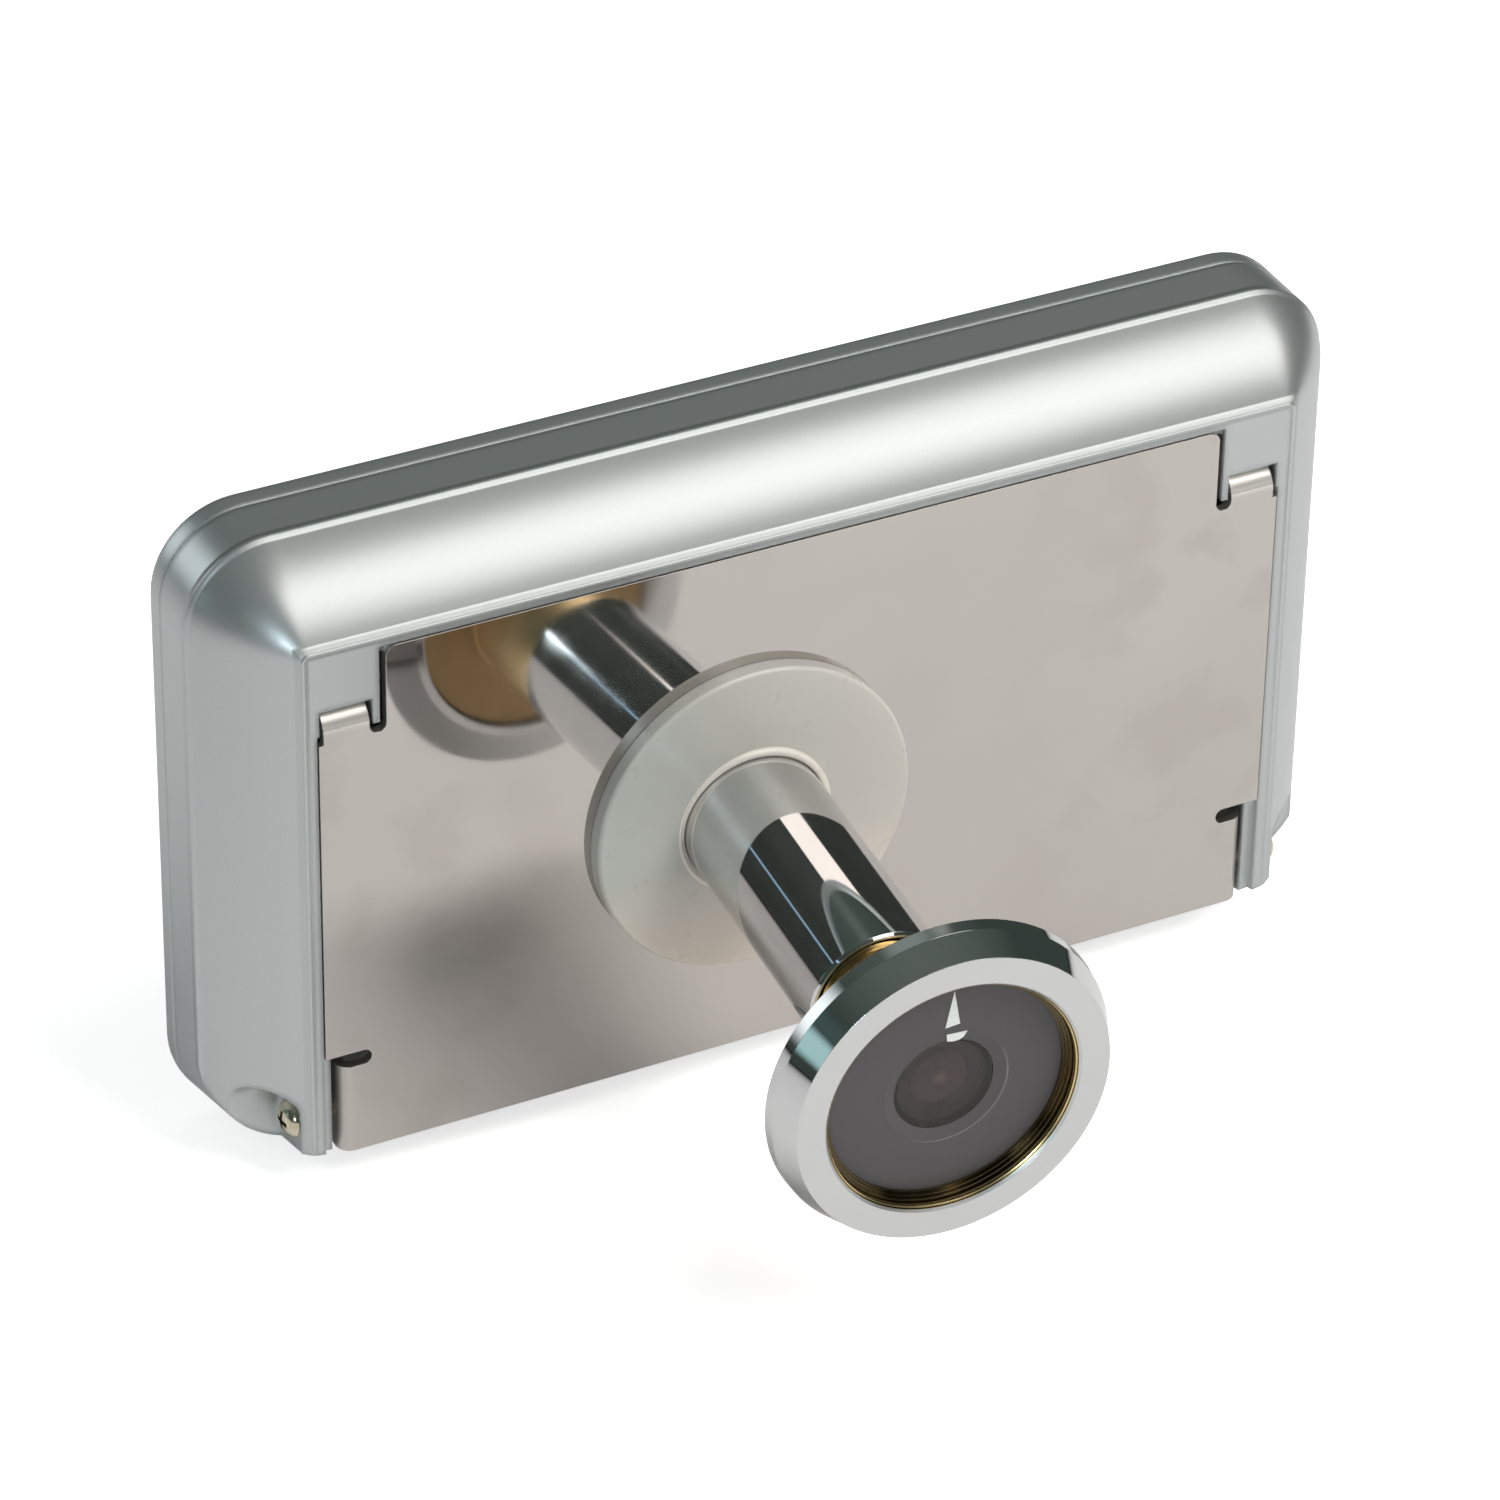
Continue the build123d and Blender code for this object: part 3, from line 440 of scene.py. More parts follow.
def barrel_place(material):
    """Distance along the barrel and distance from its axis, in metres, as two sockets."""
    tree = material.node_tree
    place = tree.nodes.new("ShaderNodeTexCoord")
    offset = vectors(tree, "SUBTRACT", place.outputs["Object"], barrel_foot)
    distance = vectors(tree, "DOT_PRODUCT", offset, barrel_direction)
    across = vectors(tree, "DOT_PRODUCT", offset, barrel_right)
    up = vectors(tree, "DOT_PRODUCT", offset, barrel_up)
    return distance, diagonal(tree, across, up)


def step(tree, kind, settings=None, **values):
    """A node of a tree with its settings, and its inputs as numbers or sockets."""
    node = tree.nodes.new(kind)
    for key, value in (settings or {}).items():
        setattr(node, key, value)
    for key, value in values.items():
        fill(tree, node.inputs[key.replace("_", " ")], value)
    return node


def growth(name, **inputs):
    """A Geometry Nodes tree with named inputs beside the geometry, and its two end nodes."""
    tree = bpy.data.node_groups.new(name, "GeometryNodeTree")
    tree.interface.new_socket("Geometry", in_out="INPUT", socket_type="NodeSocketGeometry")
    for label, value in inputs.items():
        kind = "NodeSocketMaterial" if isinstance(value, bpy.types.Material) else "NodeSocketFloat"
        tree.interface.new_socket(label, in_out="INPUT", socket_type=kind).default_value = value
    tree.interface.new_socket("Geometry", in_out="OUTPUT", socket_type="NodeSocketGeometry")
    return tree, tree.nodes.new("NodeGroupInput").outputs, tree.nodes.new("NodeGroupOutput").inputs


def add_piece(name, mesh, body, material, slot_name, *stands_for):
    """Put a finished mesh into the scene as a piece that rides on a body."""
    piece = bpy.data.objects.new(name, mesh)
    bpy.context.scene.collection.objects.link(piece)
    piece.data.materials.clear()
    piece.data.materials.append(material)
    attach(piece, body)
    if stands_for:
        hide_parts(*stands_for)


def grow(name, points, tree, values, body, material, slot_name, *stands_for, directions=()):
    """Run a tree on a row of points, and keep what it makes as a plain piece."""
    row = bpy.data.meshes.new(name + "_points")
    row.from_pydata([Vector(point) * mm for point in points], [], [])
    if directions:
        outward = row.attributes.new("outward", "FLOAT_VECTOR", "POINT")
        for item, direction in zip(outward.data, directions):
            item.vector = direction
    seed = bpy.data.objects.new(name + "_seed", row)
    bpy.context.scene.collection.objects.link(seed)
    modifier = seed.modifiers.new("growth", "NODES")
    modifier.node_group = tree
    values = {"Material": material, **values}
    for item in tree.interface.items_tree:
        if item.in_out == "INPUT" and item.name in values:
            modifier[item.identifier] = values[item.name]
    state = bpy.context.evaluated_depsgraph_get()
    mesh = bpy.data.meshes.new_from_object(seed.evaluated_get(state), depsgraph=state)
    bpy.data.objects.remove(seed)
    shape = bmesh.new()
    shape.from_mesh(mesh)
    bmesh.ops.recalc_face_normals(shape, faces=shape.faces)
    for face in shape.faces:
        face.smooth = True
    shape.to_mesh(mesh)
    shape.free()
    mesh.set_sharp_from_angle(angle=sharp_angle)
    mesh.name = name
    add_piece(name, mesh, body, material, slot_name, *stands_for)


milky = coat("milky_plastic", washer_shaded_side, metallic=0.0, roughness=0.30, Subsurface_Weight=0.3,
             Subsurface_Radius=(1.0, 1.0, 0.8), Subsurface_Scale=washer_scatter_depth,
             Coat_Weight=0.35, Coat_Roughness=0.2)
# Painted shading: darker on the left and lighter on the right, lighter towards the bottom, and
# lighter on the rim round the bore
across = between(milky, along(milky, "X"), -washer_reach, washer_reach, 0, 1)
lower = between(milky, along(milky, "Z"), -washer_reach, -washer_reach / 4, 1, 0)
side_painted_shading = blend(milky, across, washer_shaded_side, washer_lit_side)
washer_painted_shading = blend(milky, lower, side_painted_shading, washer_bottom_painted_light)
in_lip = maths(milky.node_tree, "LESS_THAN", barrel_place(milky)[1], washer_lip_radius)
drive(milky, "Base Color", blend(milky, in_lip, washer_painted_shading, washer_lip_painted_light))
drive(milky, "Roughness", wander(milky, washer_cloud_size, *washer_roughness))
relief(milky, pattern(milky, washer_grain_size), *washer_relief)
dress(milky, "gasket_washer")

# The lathe tree: each point is (radius, distance along the barrel) of a closed outline. A grid
# as long as the outline is rolled round the barrel's axis, and a thread is cut into its crest.
thread_flank_slope = 2.6
thread_crest_flat = 0.15
crest_tolerance = 0.01 * mm
weld_distance = 0.001 * mm

lathe, given, result = growth("lathe", Material=milky, Pitch=mm, Depth=0.0, Crest=0.0,
                              Start=0.0, End=mm)
position = step(lathe, "GeometryNodeInputPosition").outputs[0]
count = step(lathe, "GeometryNodeAttributeDomainSize", {"component": "MESH"},
             Geometry=given["Geometry"]).outputs["Point Count"]
grid = step(lathe, "GeometryNodeMeshGrid", Size_X=1.0, Size_Y=1.0, Vertices_X=count,
            Vertices_Y=turned_facets + 1)
spot = step(lathe, "ShaderNodeSeparateXYZ", Vector=position).outputs
number = maths(lathe, "ROUND", maths(lathe, "MULTIPLY", maths(lathe, "ADD", spot["X"], 0.5),
                                     maths(lathe, "SUBTRACT", count, 1.0)))
angle = maths(lathe, "MULTIPLY", maths(lathe, "ADD", spot["Y"], 0.5), 2 * pi)
sample = step(lathe, "GeometryNodeSampleIndex", {"data_type": "FLOAT_VECTOR"}, Index=number,
              Geometry=given["Geometry"], Value=position)
point = step(lathe, "ShaderNodeSeparateXYZ", Vector=sample.outputs["Value"]).outputs
turns = maths(lathe, "SUBTRACT", maths(lathe, "DIVIDE", point["Y"], given["Pitch"]),
              maths(lathe, "DIVIDE", angle, 2 * pi))
groove = maths(lathe, "ABSOLUTE", maths(lathe, "SUBTRACT", maths(lathe, "FRACT", turns), 0.5))
groove = maths(lathe, "SUBTRACT", maths(lathe, "MULTIPLY", groove, thread_flank_slope),
               thread_crest_flat)
groove = maths(lathe, "MINIMUM", maths(lathe, "MAXIMUM", groove, 0.0), 1.0)
from_crest = maths(lathe, "ABSOLUTE", maths(lathe, "SUBTRACT", point["X"], given["Crest"]))
on_crest = maths(lathe, "LESS_THAN", from_crest, crest_tolerance)
from_end = maths(lathe, "MINIMUM", maths(lathe, "SUBTRACT", point["Y"], given["Start"]),
                 maths(lathe, "SUBTRACT", given["End"], point["Y"]))
run_in = maths(lathe, "MINIMUM", maths(lathe, "DIVIDE", from_end, given["Pitch"]), 1.0)
cut = maths(lathe, "MULTIPLY", maths(lathe, "MULTIPLY", groove, on_crest),
            maths(lathe, "MULTIPLY", given["Depth"], run_in))
reach = maths(lathe, "SUBTRACT", point["X"], cut)
place = vectors(lathe, "ADD", vectors(lathe, "SCALE", barrel_direction, point["Y"]), barrel_foot)
for side, share in ((barrel_right, "COSINE"), (barrel_up, "SINE")):
    sideways = maths(lathe, "MULTIPLY", reach, maths(lathe, share, angle))
    place = vectors(lathe, "ADD", place, vectors(lathe, "SCALE", side, sideways))
moved = step(lathe, "GeometryNodeSetPosition", Geometry=grid.outputs["Mesh"], Position=place)
merged = step(lathe, "GeometryNodeMergeByDistance", Geometry=moved.outputs[0],
              Distance=weld_distance)
dressed = step(lathe, "GeometryNodeSetMaterial", Geometry=merged.outputs[0],
               Material=given["Material"])
link(lathe, (dressed.outputs[0], result["Geometry"]))
grow("washer_rim", [(*corner, 0) for corner in washer_rim], lathe, {}, "mount_frame", milky,
     "washer_plastic")

# Barrel sleeve: a brass tube that goes through the door, turned, polished and plated with
# bright chrome, with a trace of the polishing wheel.
chrome_dark = (0.635, 0.645, 0.648, 1)
chrome_light = (0.675, 0.685, 0.688, 1)
chrome_roughness = (0.02, 0.055)
chrome_cloud_size = 5 * mm
wheel_mark_size = 4 * mm
wheel_mark_relief = (0.006 * mm, 0.12, 0.12 * mm)

chrome = coat("chrome_plate", chrome_light, metallic=1.0, roughness=0.035)
vary(chrome, chrome_cloud_size, chrome_dark, chrome_light, *chrome_roughness)
relief(chrome, pattern(chrome, wheel_mark_size), *wheel_mark_relief)
dress(chrome, "barrel_sleeve")

# Camera barrel: one piece turned from brass. Its tube carries the fine outside thread that
# draws it into the sleeve, its neck is polished and painted a lighter gold as a painted
# highlight, and the hole before the lens is blackened.
brass_dark = (0.66, 0.52, 0.28, 1)
brass_light = (0.80, 0.67, 0.42, 1)
disc_brass = (0.50, 0.345, 0.165, 1)
# Painted highlight: the lighter gold of the neck
neck_painted_highlight = (0.97, 0.76, 0.42, 1)
black_inside = (0.012, 0.011, 0.011, 1)
brass_cloud_size = 3 * mm
satin_size = 2 * mm
satin_roughness = (0.16, 0.26)
neck_roughness = 0.3
inside_roughness = 0.4
turning_pitch = 0.12 * mm
turning_relief = (0.0008 * mm, 0.3, 0.08 * mm)
# In millimetres, on the part's own outline
barrel_bore, light_hole, bore_margin = 5.2, 4.6, 0.05
thread_radius, thread_depth, thread_pitch, thread_samples = 6.25, 0.42, 1.0, 8
barrel_start, neck_start, neck_radius = 6.0, 31.9, 6.87
neck_swell = ((6.10, 32.3), (6.55, 33.0), (6.78, 33.7), (6.87, 34.6))
neck_highlight_start, neck_highlight_end = neck_start + 0.5, neck_start + 2.0
disc_radius, disc_back, disc_front, disc_edge = 13.05, 44.2, 45.5, 0.2
disc_brass_start, disc_brass_end = neck_radius, neck_radius + 0.3

brass = coat("brass", brass_dark, metallic=1.0, roughness=0.2)
distance, radius = barrel_place(brass)
tree = brass.node_tree
bright = blend(brass, pattern(brass, brass_cloud_size), brass_dark, brass_light)
neck_share = between(brass, distance, neck_highlight_start * mm, neck_highlight_end * mm, 0, 1)
on_disc = between(brass, radius, disc_brass_start * mm, disc_brass_end * mm, 0, 1)
# The neck is painted a lighter gold: a painted highlight
turned = blend(brass, on_disc, blend(brass, neck_share, bright, neck_painted_highlight), disc_brass)
outside = between(brass, radius, (barrel_bore - bore_margin) * mm,
                  (barrel_bore + bore_margin) * mm, 0, 1)
drive(brass, "Base Color", blend(brass, outside, black_inside, turned))
inside = maths(tree, "SUBTRACT", 1.0, outside)
dull_inside = maths(tree, "MULTIPLY", inside, inside_roughness)
satin = wander(brass, satin_size, *satin_roughness)
on_neck = maths(tree, "MULTIPLY", neck_share, neck_roughness)
drive(brass, "Roughness", maths(tree, "ADD", maths(tree, "ADD", satin, on_neck), dull_inside))
turning = maths(tree, "SINE", maths(tree, "MULTIPLY", radius, 2 * pi / turning_pitch))
relief(brass, turning, *turning_relief)

thread_root = thread_radius - thread_depth
thread_length = neck_start - barrel_start
samples = round(thread_length / thread_pitch * thread_samples)
outline = [(barrel_bore, barrel_start), (thread_root, barrel_start)]
outline += [(thread_radius, barrel_start + thread_length * number / samples)
            for number in range(1, samples)]
outline += [(thread_root, neck_start), *neck_swell, (neck_radius, disc_back),
            (disc_radius - disc_edge, disc_back), (disc_radius, disc_back + disc_edge),
            (disc_radius, disc_front - disc_edge), (disc_radius - disc_edge, disc_front),
            (light_hole, disc_front), (light_hole, disc_back), (barrel_bore, disc_back),
            (barrel_bore, barrel_start)]
thread_sizes = {"Pitch": thread_pitch * mm, "Depth": thread_depth * mm,
                "Crest": thread_radius * mm, "Start": barrel_start * mm, "End": neck_start * mm}
grow("threaded_barrel", [(*corner, 0) for corner in outline], lathe, thread_sizes, "camera",
     brass, "brass", "camera_barrel")

# Head bezel: the turned and chromed ring that screws onto the barrel's disc. Inside its mouth
# the bare brass shows between fine turning lines.
mouth_radius = 13.06 * mm
mouth_line_pitch = 0.42 * mm
mouth_line_contrast = (-0.6, 0.2)
mouth_gold = (0.78, 0.61, 0.31, 1)
mouth_line = (0.05, 0.04, 0.025, 1)
mouth_roughness = 0.25
mouth_edge_radius = 13.3 * mm
mouth_edge_roughness = 0.4

head_chrome = coat("head_chrome", chrome_light, metallic=1.0, roughness=0.035)
distance, radius = barrel_place(head_chrome)
tree = head_chrome.node_tree
in_mouth = maths(tree, "LESS_THAN", radius, mouth_radius)
lines = maths(tree, "SINE", maths(tree, "MULTIPLY", maths(tree, "ADD", radius, distance),
                                  2 * pi / mouth_line_pitch))
lines = between(head_chrome, lines, *mouth_line_contrast, 0, 1)
mouth_colour = blend(head_chrome, lines, mouth_line, mouth_gold)
plated = blend(head_chrome, pattern(head_chrome, chrome_cloud_size), chrome_dark, chrome_light)
drive(head_chrome, "Base Color", blend(head_chrome, in_mouth, plated, mouth_colour))
mirror_like = wander(head_chrome, chrome_cloud_size, *chrome_roughness)
at_edge = maths(tree, "LESS_THAN", radius, mouth_edge_radius)
worn = maths(tree, "MULTIPLY", at_edge, mouth_edge_roughness)
smoother = maths(tree, "MULTIPLY", in_mouth, mouth_edge_roughness - mouth_roughness)
worn = maths(tree, "SUBTRACT", worn, smoother)
drive(head_chrome, "Roughness", maths(tree, "ADD", mirror_like, worn))
relief(head_chrome, pattern(head_chrome, wheel_mark_size), *wheel_mark_relief)
dress(head_chrome, "head_bezel")

# Face disc: stamped sheet sprayed dark grey, with a seat for the window pressed into it. The
# white mark printed above the lens shows which way is up when the viewer is fitted. The seat's
# edge is painted lighter below and to the right of the lens: a painted highlight.
face_dark = (0.070, 0.066, 0.069, 1)
face_light = (0.078, 0.074, 0.077, 1)
face_cloud_size = 3 * mm
face_roughness = (0.40, 0.52)
face_reach = 46.8 * mm
orange_peel_size = 0.2 * mm
orange_peel_share = 0.03
seat_ring_radius = 6.5 * mm
seat_ring_width = 0.16 * mm
seat_relief = (0.08 * mm, 0.7, 0.05 * mm)
ring_glint = (0.17, 0.165, 0.17, 1)
# How far below and to the right of the lens the painted highlight on the seat ring starts, and is
# full
glint_span = (1 * mm, 6 * mm)
mark_thickness = 0.02 * mm
mark_dark = (0.74, 0.78, 0.76, 1)
mark_light = (0.84, 0.88, 0.86, 1)
mark_roughness = (0.42, 0.6)
mark_cloud_size = 0.3 * mm
# (right, up) from the barrel's axis, in millimetres
mark_arrow = ((-0.40, 11.25), (-1.16, 7.19), (0.35, 7.00))
mark_bar = ((-1.98, 6.11), (-1.62, 5.50), (-1.15, 5.24), (-0.45, 5.22), (0.10, 5.40), (0.18, 6.21))

face_paint = coat("face_paint", face_dark, metallic=0.0, roughness=0.45)
distance, radius = barrel_place(face_paint)
tree = face_paint.node_tree
seat_ring = maths(tree, "COMPARE", radius, seat_ring_radius, seat_ring_width / 2)
orange_peel = maths(tree, "MULTIPLY", pattern(face_paint, orange_peel_size), orange_peel_share)
sprayed = blend(face_paint, pattern(face_paint, face_cloud_size), face_dark, face_light)
lower_side = maths(tree, "SUBTRACT", along(face_paint, "X"), along(face_paint, "Z"))
shining = between(face_paint, lower_side, *glint_span, 0, 1)
# Painted highlight on the seat ring, below and to the right of the lens
glinting_ring_share = maths(tree, "MULTIPLY", seat_ring, shining)
drive(face_paint, "Base Color", blend(face_paint, glinting_ring_share, sprayed, ring_glint))
drive(face_paint, "Roughness", wander(face_paint, face_cloud_size, *face_roughness))
relief(face_paint, maths(tree, "ADD", seat_ring, orange_peel), *seat_relief)
dress(face_paint, "face_disc")

mark_paint = coat("mark_paint", mark_light, metallic=0.0, roughness=0.5)
vary(mark_paint, mark_cloud_size, mark_dark, mark_light, *mark_roughness)
mark = bmesh.new()
for corners in (mark_arrow, mark_bar):
    face = mark.faces.new([mark.verts.new(barrel_foot + barrel_direction * face_reach
                                          + (barrel_right * right + barrel_up * up) * mm)
                           for right, up in corners])
    raised = bmesh.ops.extrude_face_region(mark, geom=[face])["geom"]
    raised_corners = [item for item in raised if isinstance(item, bmesh.types.BMVert)]
    bmesh.ops.translate(mark, verts=raised_corners, vec=barrel_direction * mark_thickness)
bmesh.ops.recalc_face_normals(mark, faces=mark.faces)
mark_mesh = bpy.data.meshes.new("up_mark")
mark.to_mesh(mark_mesh)
mark.free()
add_piece("up_mark", mark_mesh, "camera", mark_paint, "face_grey")

# Retaining ring: thin brass, turned down to the face in three fine steps. It sits in the mouth
# of the bezel and holds the face disc in.
ring_front = 47.85 * mm
ring_foot = 46.9 * mm
ring_step = 0.45 * mm
ring_step_contrast = (-0.4, 0.3)
ring_shade = (0.10, 0.078, 0.045, 1)
ring_foot_light = 0.25
ring_cloud_size = 2 * mm
ring_roughness = (0.12, 0.22)
ring_grain_size = 0.3 * mm
ring_relief = (0.002 * mm, 0.2, 0.03 * mm)

ring_brass = coat("ring_brass", brass_light, metallic=1.0, roughness=0.12)
tree = ring_brass.node_tree
distance, radius = barrel_place(ring_brass)
steps = maths(tree, "SINE", maths(tree, "MULTIPLY", distance, 2 * pi / ring_step))
lit = maths(tree, "MULTIPLY", between(ring_brass, steps, *ring_step_contrast, 0, 1),
            between(ring_brass, distance, ring_foot, ring_front, ring_foot_light, 1))
lit = maths(tree, "MULTIPLY", lit, maths(tree, "LESS_THAN", distance, ring_front))
drive(ring_brass, "Base Color", blend(ring_brass, lit, ring_shade, brass_light))
drive(ring_brass, "Roughness", wander(ring_brass, ring_cloud_size, *ring_roughness))
relief(ring_brass, pattern(ring_brass, ring_grain_size), *ring_relief)
dress(ring_brass, "retaining_ring")

# Lens window: a flat disc of brown smoked glass, set in the middle of the face a little below
# its surface. It lets the camera see and hides it.
smoke_dark = (0.40, 0.325, 0.315, 1)
smoke_light = (0.45, 0.365, 0.35, 1)
smoke_cloud_size = 4 * mm
smoke_roughness = (0.0, 0.012)

smoked = coat("smoked_glass", smoke_dark, metallic=0.0, roughness=0.02, Transmission_Weight=1.0,
              IOR=1.5)
vary(smoked, smoke_cloud_size, smoke_dark, smoke_light, *smoke_roughness)
dress(smoked, "lens_window")

# Camera module: a coated glass lens in a black holder, which stands on a small sensor board in
# the barrel's bore. The camera's socket and the button's switch are of the same black plastic.
lens_dark = (0.035, 0.028, 0.040, 1)
lens_light = (0.065, 0.045, 0.055, 1)
# Painted glint in the middle of the lens, and how far it reaches from the axis
lens_painted_glint = (0.34, 0.27, 0.25, 1)
lens_glint_radius = 1.1 * mm
lens_cloud_size = 2 * mm
lens_roughness = (0.03, 0.08)
holder_dark = (0.022, 0.021, 0.021, 1)
holder_light = (0.036, 0.034, 0.034, 1)
holder_cloud_size = 1 * mm
holder_roughness = (0.34, 0.5)
holder_grain_size = 0.15 * mm
holder_relief = (0.01 * mm, 0.3, 0.05 * mm)

lens_glass = coat("lens_glass", lens_dark, metallic=0.0, roughness=0.05, Coat_Weight=1.0,
                  Specular_IOR_Level=0.9)
coated = blend(lens_glass, pattern(lens_glass, lens_cloud_size), lens_dark, lens_light)
# Painted glint: the middle of the lens is painted lighter
glint_share = between(lens_glass, barrel_place(lens_glass)[1], 0, lens_glint_radius, 1, 0)
drive(lens_glass, "Base Color", blend(lens_glass, glint_share, coated, lens_painted_glint))
drive(lens_glass, "Roughness", wander(lens_glass, lens_cloud_size, *lens_roughness))
dress(lens_glass, "camera_lens")
holder_black = coat("holder_black", holder_dark, metallic=0.0, roughness=0.4)
vary(holder_black, holder_cloud_size, holder_dark, holder_light, *holder_roughness)
relief(holder_black, pattern(holder_black, holder_grain_size), *holder_relief)
dress(holder_black, "lens_holder", "camera_socket", "button_switch")

# Case: two moulded shells, sprayed with fine silver paint under a thin clear coat. A low lip
# runs where the back's flank meets its rim and where it meets the side walls.
silver_dark = (0.500, 0.535, 0.540, 1)
silver_light = (0.550, 0.582, 0.582, 1)
silver_roughness = (0.34, 0.41)
flake_size = 0.09 * mm
spray_size = 0.25 * mm
spray_share = 0.004
case_middle = plate_middle
rim_half_width = 54.0 * mm
rim_top = 31.13 * mm
rim_reach = 4.0 * mm
crease_place = 11.08 * mm
lip_width = 0.75 * mm
lip_height = 0.24 * mm
case_edge = 1.0 * mm


def silver_coat(name, roughness_range, roughness, clear_roughness):
    """Sprayed silver paint with fine flakes in it, under a thin clear coat."""
    paint = coat(name, silver_dark, metallic=0.82, roughness=roughness, Coat_Weight=0.25,
                 Coat_Roughness=clear_roughness)
    vary(paint, flake_size, silver_dark, silver_light, *roughness_range, detail=1.0)
    return paint


silver = silver_coat("silver_paint", silver_roughness, roughness=0.36, clear_roughness=0.12)
tree = silver.node_tree
from_middle = maths(tree, "ABSOLUTE", maths(tree, "SUBTRACT", along(silver, "X"), case_middle))
from_rim = maths(tree, "MAXIMUM", maths(tree, "SUBTRACT", along(silver, "Z"), rim_top),
                 maths(tree, "SUBTRACT", from_middle, rim_half_width))
on_rim = between(silver, maths(tree, "ABSOLUTE", from_rim), 0, lip_width, 1, 0)
on_rim = maths(tree, "MULTIPLY", on_rim, maths(tree, "LESS_THAN", along(silver, "Y"), rim_reach))
from_crease = maths(tree, "ABSOLUTE", maths(tree, "SUBTRACT", along(silver, "Y"), crease_place))
lip = maths(tree, "MAXIMUM", on_rim, between(silver, from_crease, 0, lip_width, 1, 0))
lip = maths(tree, "MULTIPLY", maths(tree, "MULTIPLY", lip, lip),
            maths(tree, "SUBTRACT", 3.0, maths(tree, "MULTIPLY", lip, 2.0)))
spray = maths(tree, "MULTIPLY", pattern(silver, spray_size, detail=1.0), spray_share)
relief(silver, maths(tree, "ADD", lip, spray), lip_height, 1.0, case_edge)
dress(silver, "back_shell", "front_shell", "battery_door")

# Edge beads of the back shell: two fine rounded lips moulded along the outer crease and the
# rim of its flank, sprayed with the rest. One tree bends a rod round the corners of a path.
bead_radius = 0.27
bead_facets, corner_facets = 12, 14
bead_relief = (0.001 * mm, 1.0, 0.1 * mm)
flank_width = 8.2
rim_corner = 0.7
rim_sink = 0.13
# name: distance outside the rim, distance from the door, lower end, in millimetres
beads = {
    "crease_bead": (flank_width - bead_radius, 11.06, -19.3),
    "rim_bead": (-rim_sink, 2.03, -26.8),
}

bead_paint = silver_coat("bead_paint", silver_roughness, roughness=0.36, clear_roughness=0.12)
relief(bead_paint, pattern(bead_paint, spray_size, detail=1.0), *bead_relief)
rod, given, result = growth("edge_bead", Material=bead_paint, Corner=mm,
                            Radius=bead_radius * mm)
dots = step(rod, "GeometryNodeMeshToPoints", Mesh=given["Geometry"])
line = step(rod, "GeometryNodePointsToCurves", Points=dots.outputs[0])
rounded = step(rod, "GeometryNodeFilletCurve", {"mode": "POLY"}, Curve=line.outputs[0],
               Count=corner_facets, Radius=given["Corner"])
circle = step(rod, "GeometryNodeCurvePrimitiveCircle", Resolution=bead_facets)
circle_radius = next(item for item in circle.inputs if item.name == "Radius" and item.enabled)
link(rod, (given["Radius"], circle_radius))
swept = step(rod, "GeometryNodeCurveToMesh", Curve=rounded.outputs[0],
             Profile_Curve=circle.outputs[0], Fill_Caps=True)
dressed = step(rod, "GeometryNodeSetMaterial", Geometry=swept.outputs[0],
               Material=given["Material"])
link(rod, (dressed.outputs[0], result["Geometry"]))
middle = case_middle / mm
for name, (outwards, depth, low) in beads.items():
    left, right = middle - rim_half_width / mm - outwards, middle + rim_half_width / mm + outwards
    top = rim_top / mm + outwards
    path = [(left, depth, low), (left, depth, top), (right, depth, top), (right, depth, low)]
    grow(name, path, rod, {"Corner": (rim_corner + outwards) * mm}, "monitor", bead_paint,
         "case_silver")

# View button: a round key moulded in the case's colour, a little smoother from use. It stands
# in a hole of the front shell, over a switch on a small board of its own.
key_roughness = (0.28, 0.36)
key_relief = (0.001 * mm, 1.0, 0.3 * mm)

key_paint = silver_coat("key_paint", key_roughness, roughness=0.3, clear_roughness=0.1)
relief(key_paint, pattern(key_paint, spray_size, detail=1.0), *key_relief)
dress(key_paint, "view_button")

# Screen window: a clear acrylic pane let into the front shell. It looks dark while the display
# behind it is off.
pane_dark = (0.045, 0.045, 0.050, 1)
pane_light = (0.055, 0.055, 0.060, 1)
pane_cloud_size = 6 * mm
pane_roughness = (0.03, 0.06)

pane = coat("screen_pane", pane_dark, metallic=0.0, roughness=0.04, Transmission_Weight=0.8)
vary(pane, pane_cloud_size, pane_dark, pane_light, *pane_roughness)
dress(pane, "screen_window")

# Display module: a colour panel in a folded frame of thin bright sheet. It lies between the
# main board and the screen window.
frame_dark = (0.44, 0.45, 0.46, 1)
frame_light = (0.56, 0.57, 0.58, 1)
frame_cloud_size = 2 * mm
frame_roughness = (0.25, 0.4)
frame_line_size = 0.3 * mm
frame_line_stretch = (1, 1, 0.1)
frame_relief = (0.003 * mm, 0.3, 0.1 * mm)

frame_sheet = coat("frame_sheet", frame_dark, metallic=1.0, roughness=0.3)
vary(frame_sheet, frame_cloud_size, frame_dark, frame_light, *frame_roughness)
relief(frame_sheet, pattern(frame_sheet, frame_line_size, frame_line_stretch), *frame_relief)
dress(frame_sheet, "display_module")

# Circuit boards: glass fibre under green lacquer, with the copper tracks raised beneath it. The
# main board and the button's board are screwed to posts, and the sensor's is in the barrel.
lacquer_dark = (0.012, 0.085, 0.035, 1)
lacquer_light = (0.030, 0.150, 0.065, 1)
lacquer_cloud_size = 2 * mm
lacquer_roughness = (0.3, 0.45)
track_width = 1.2 * mm
track_edge = (0.25, 0.32)
track_relief = (0.03 * mm, 0.5, 0.05 * mm)

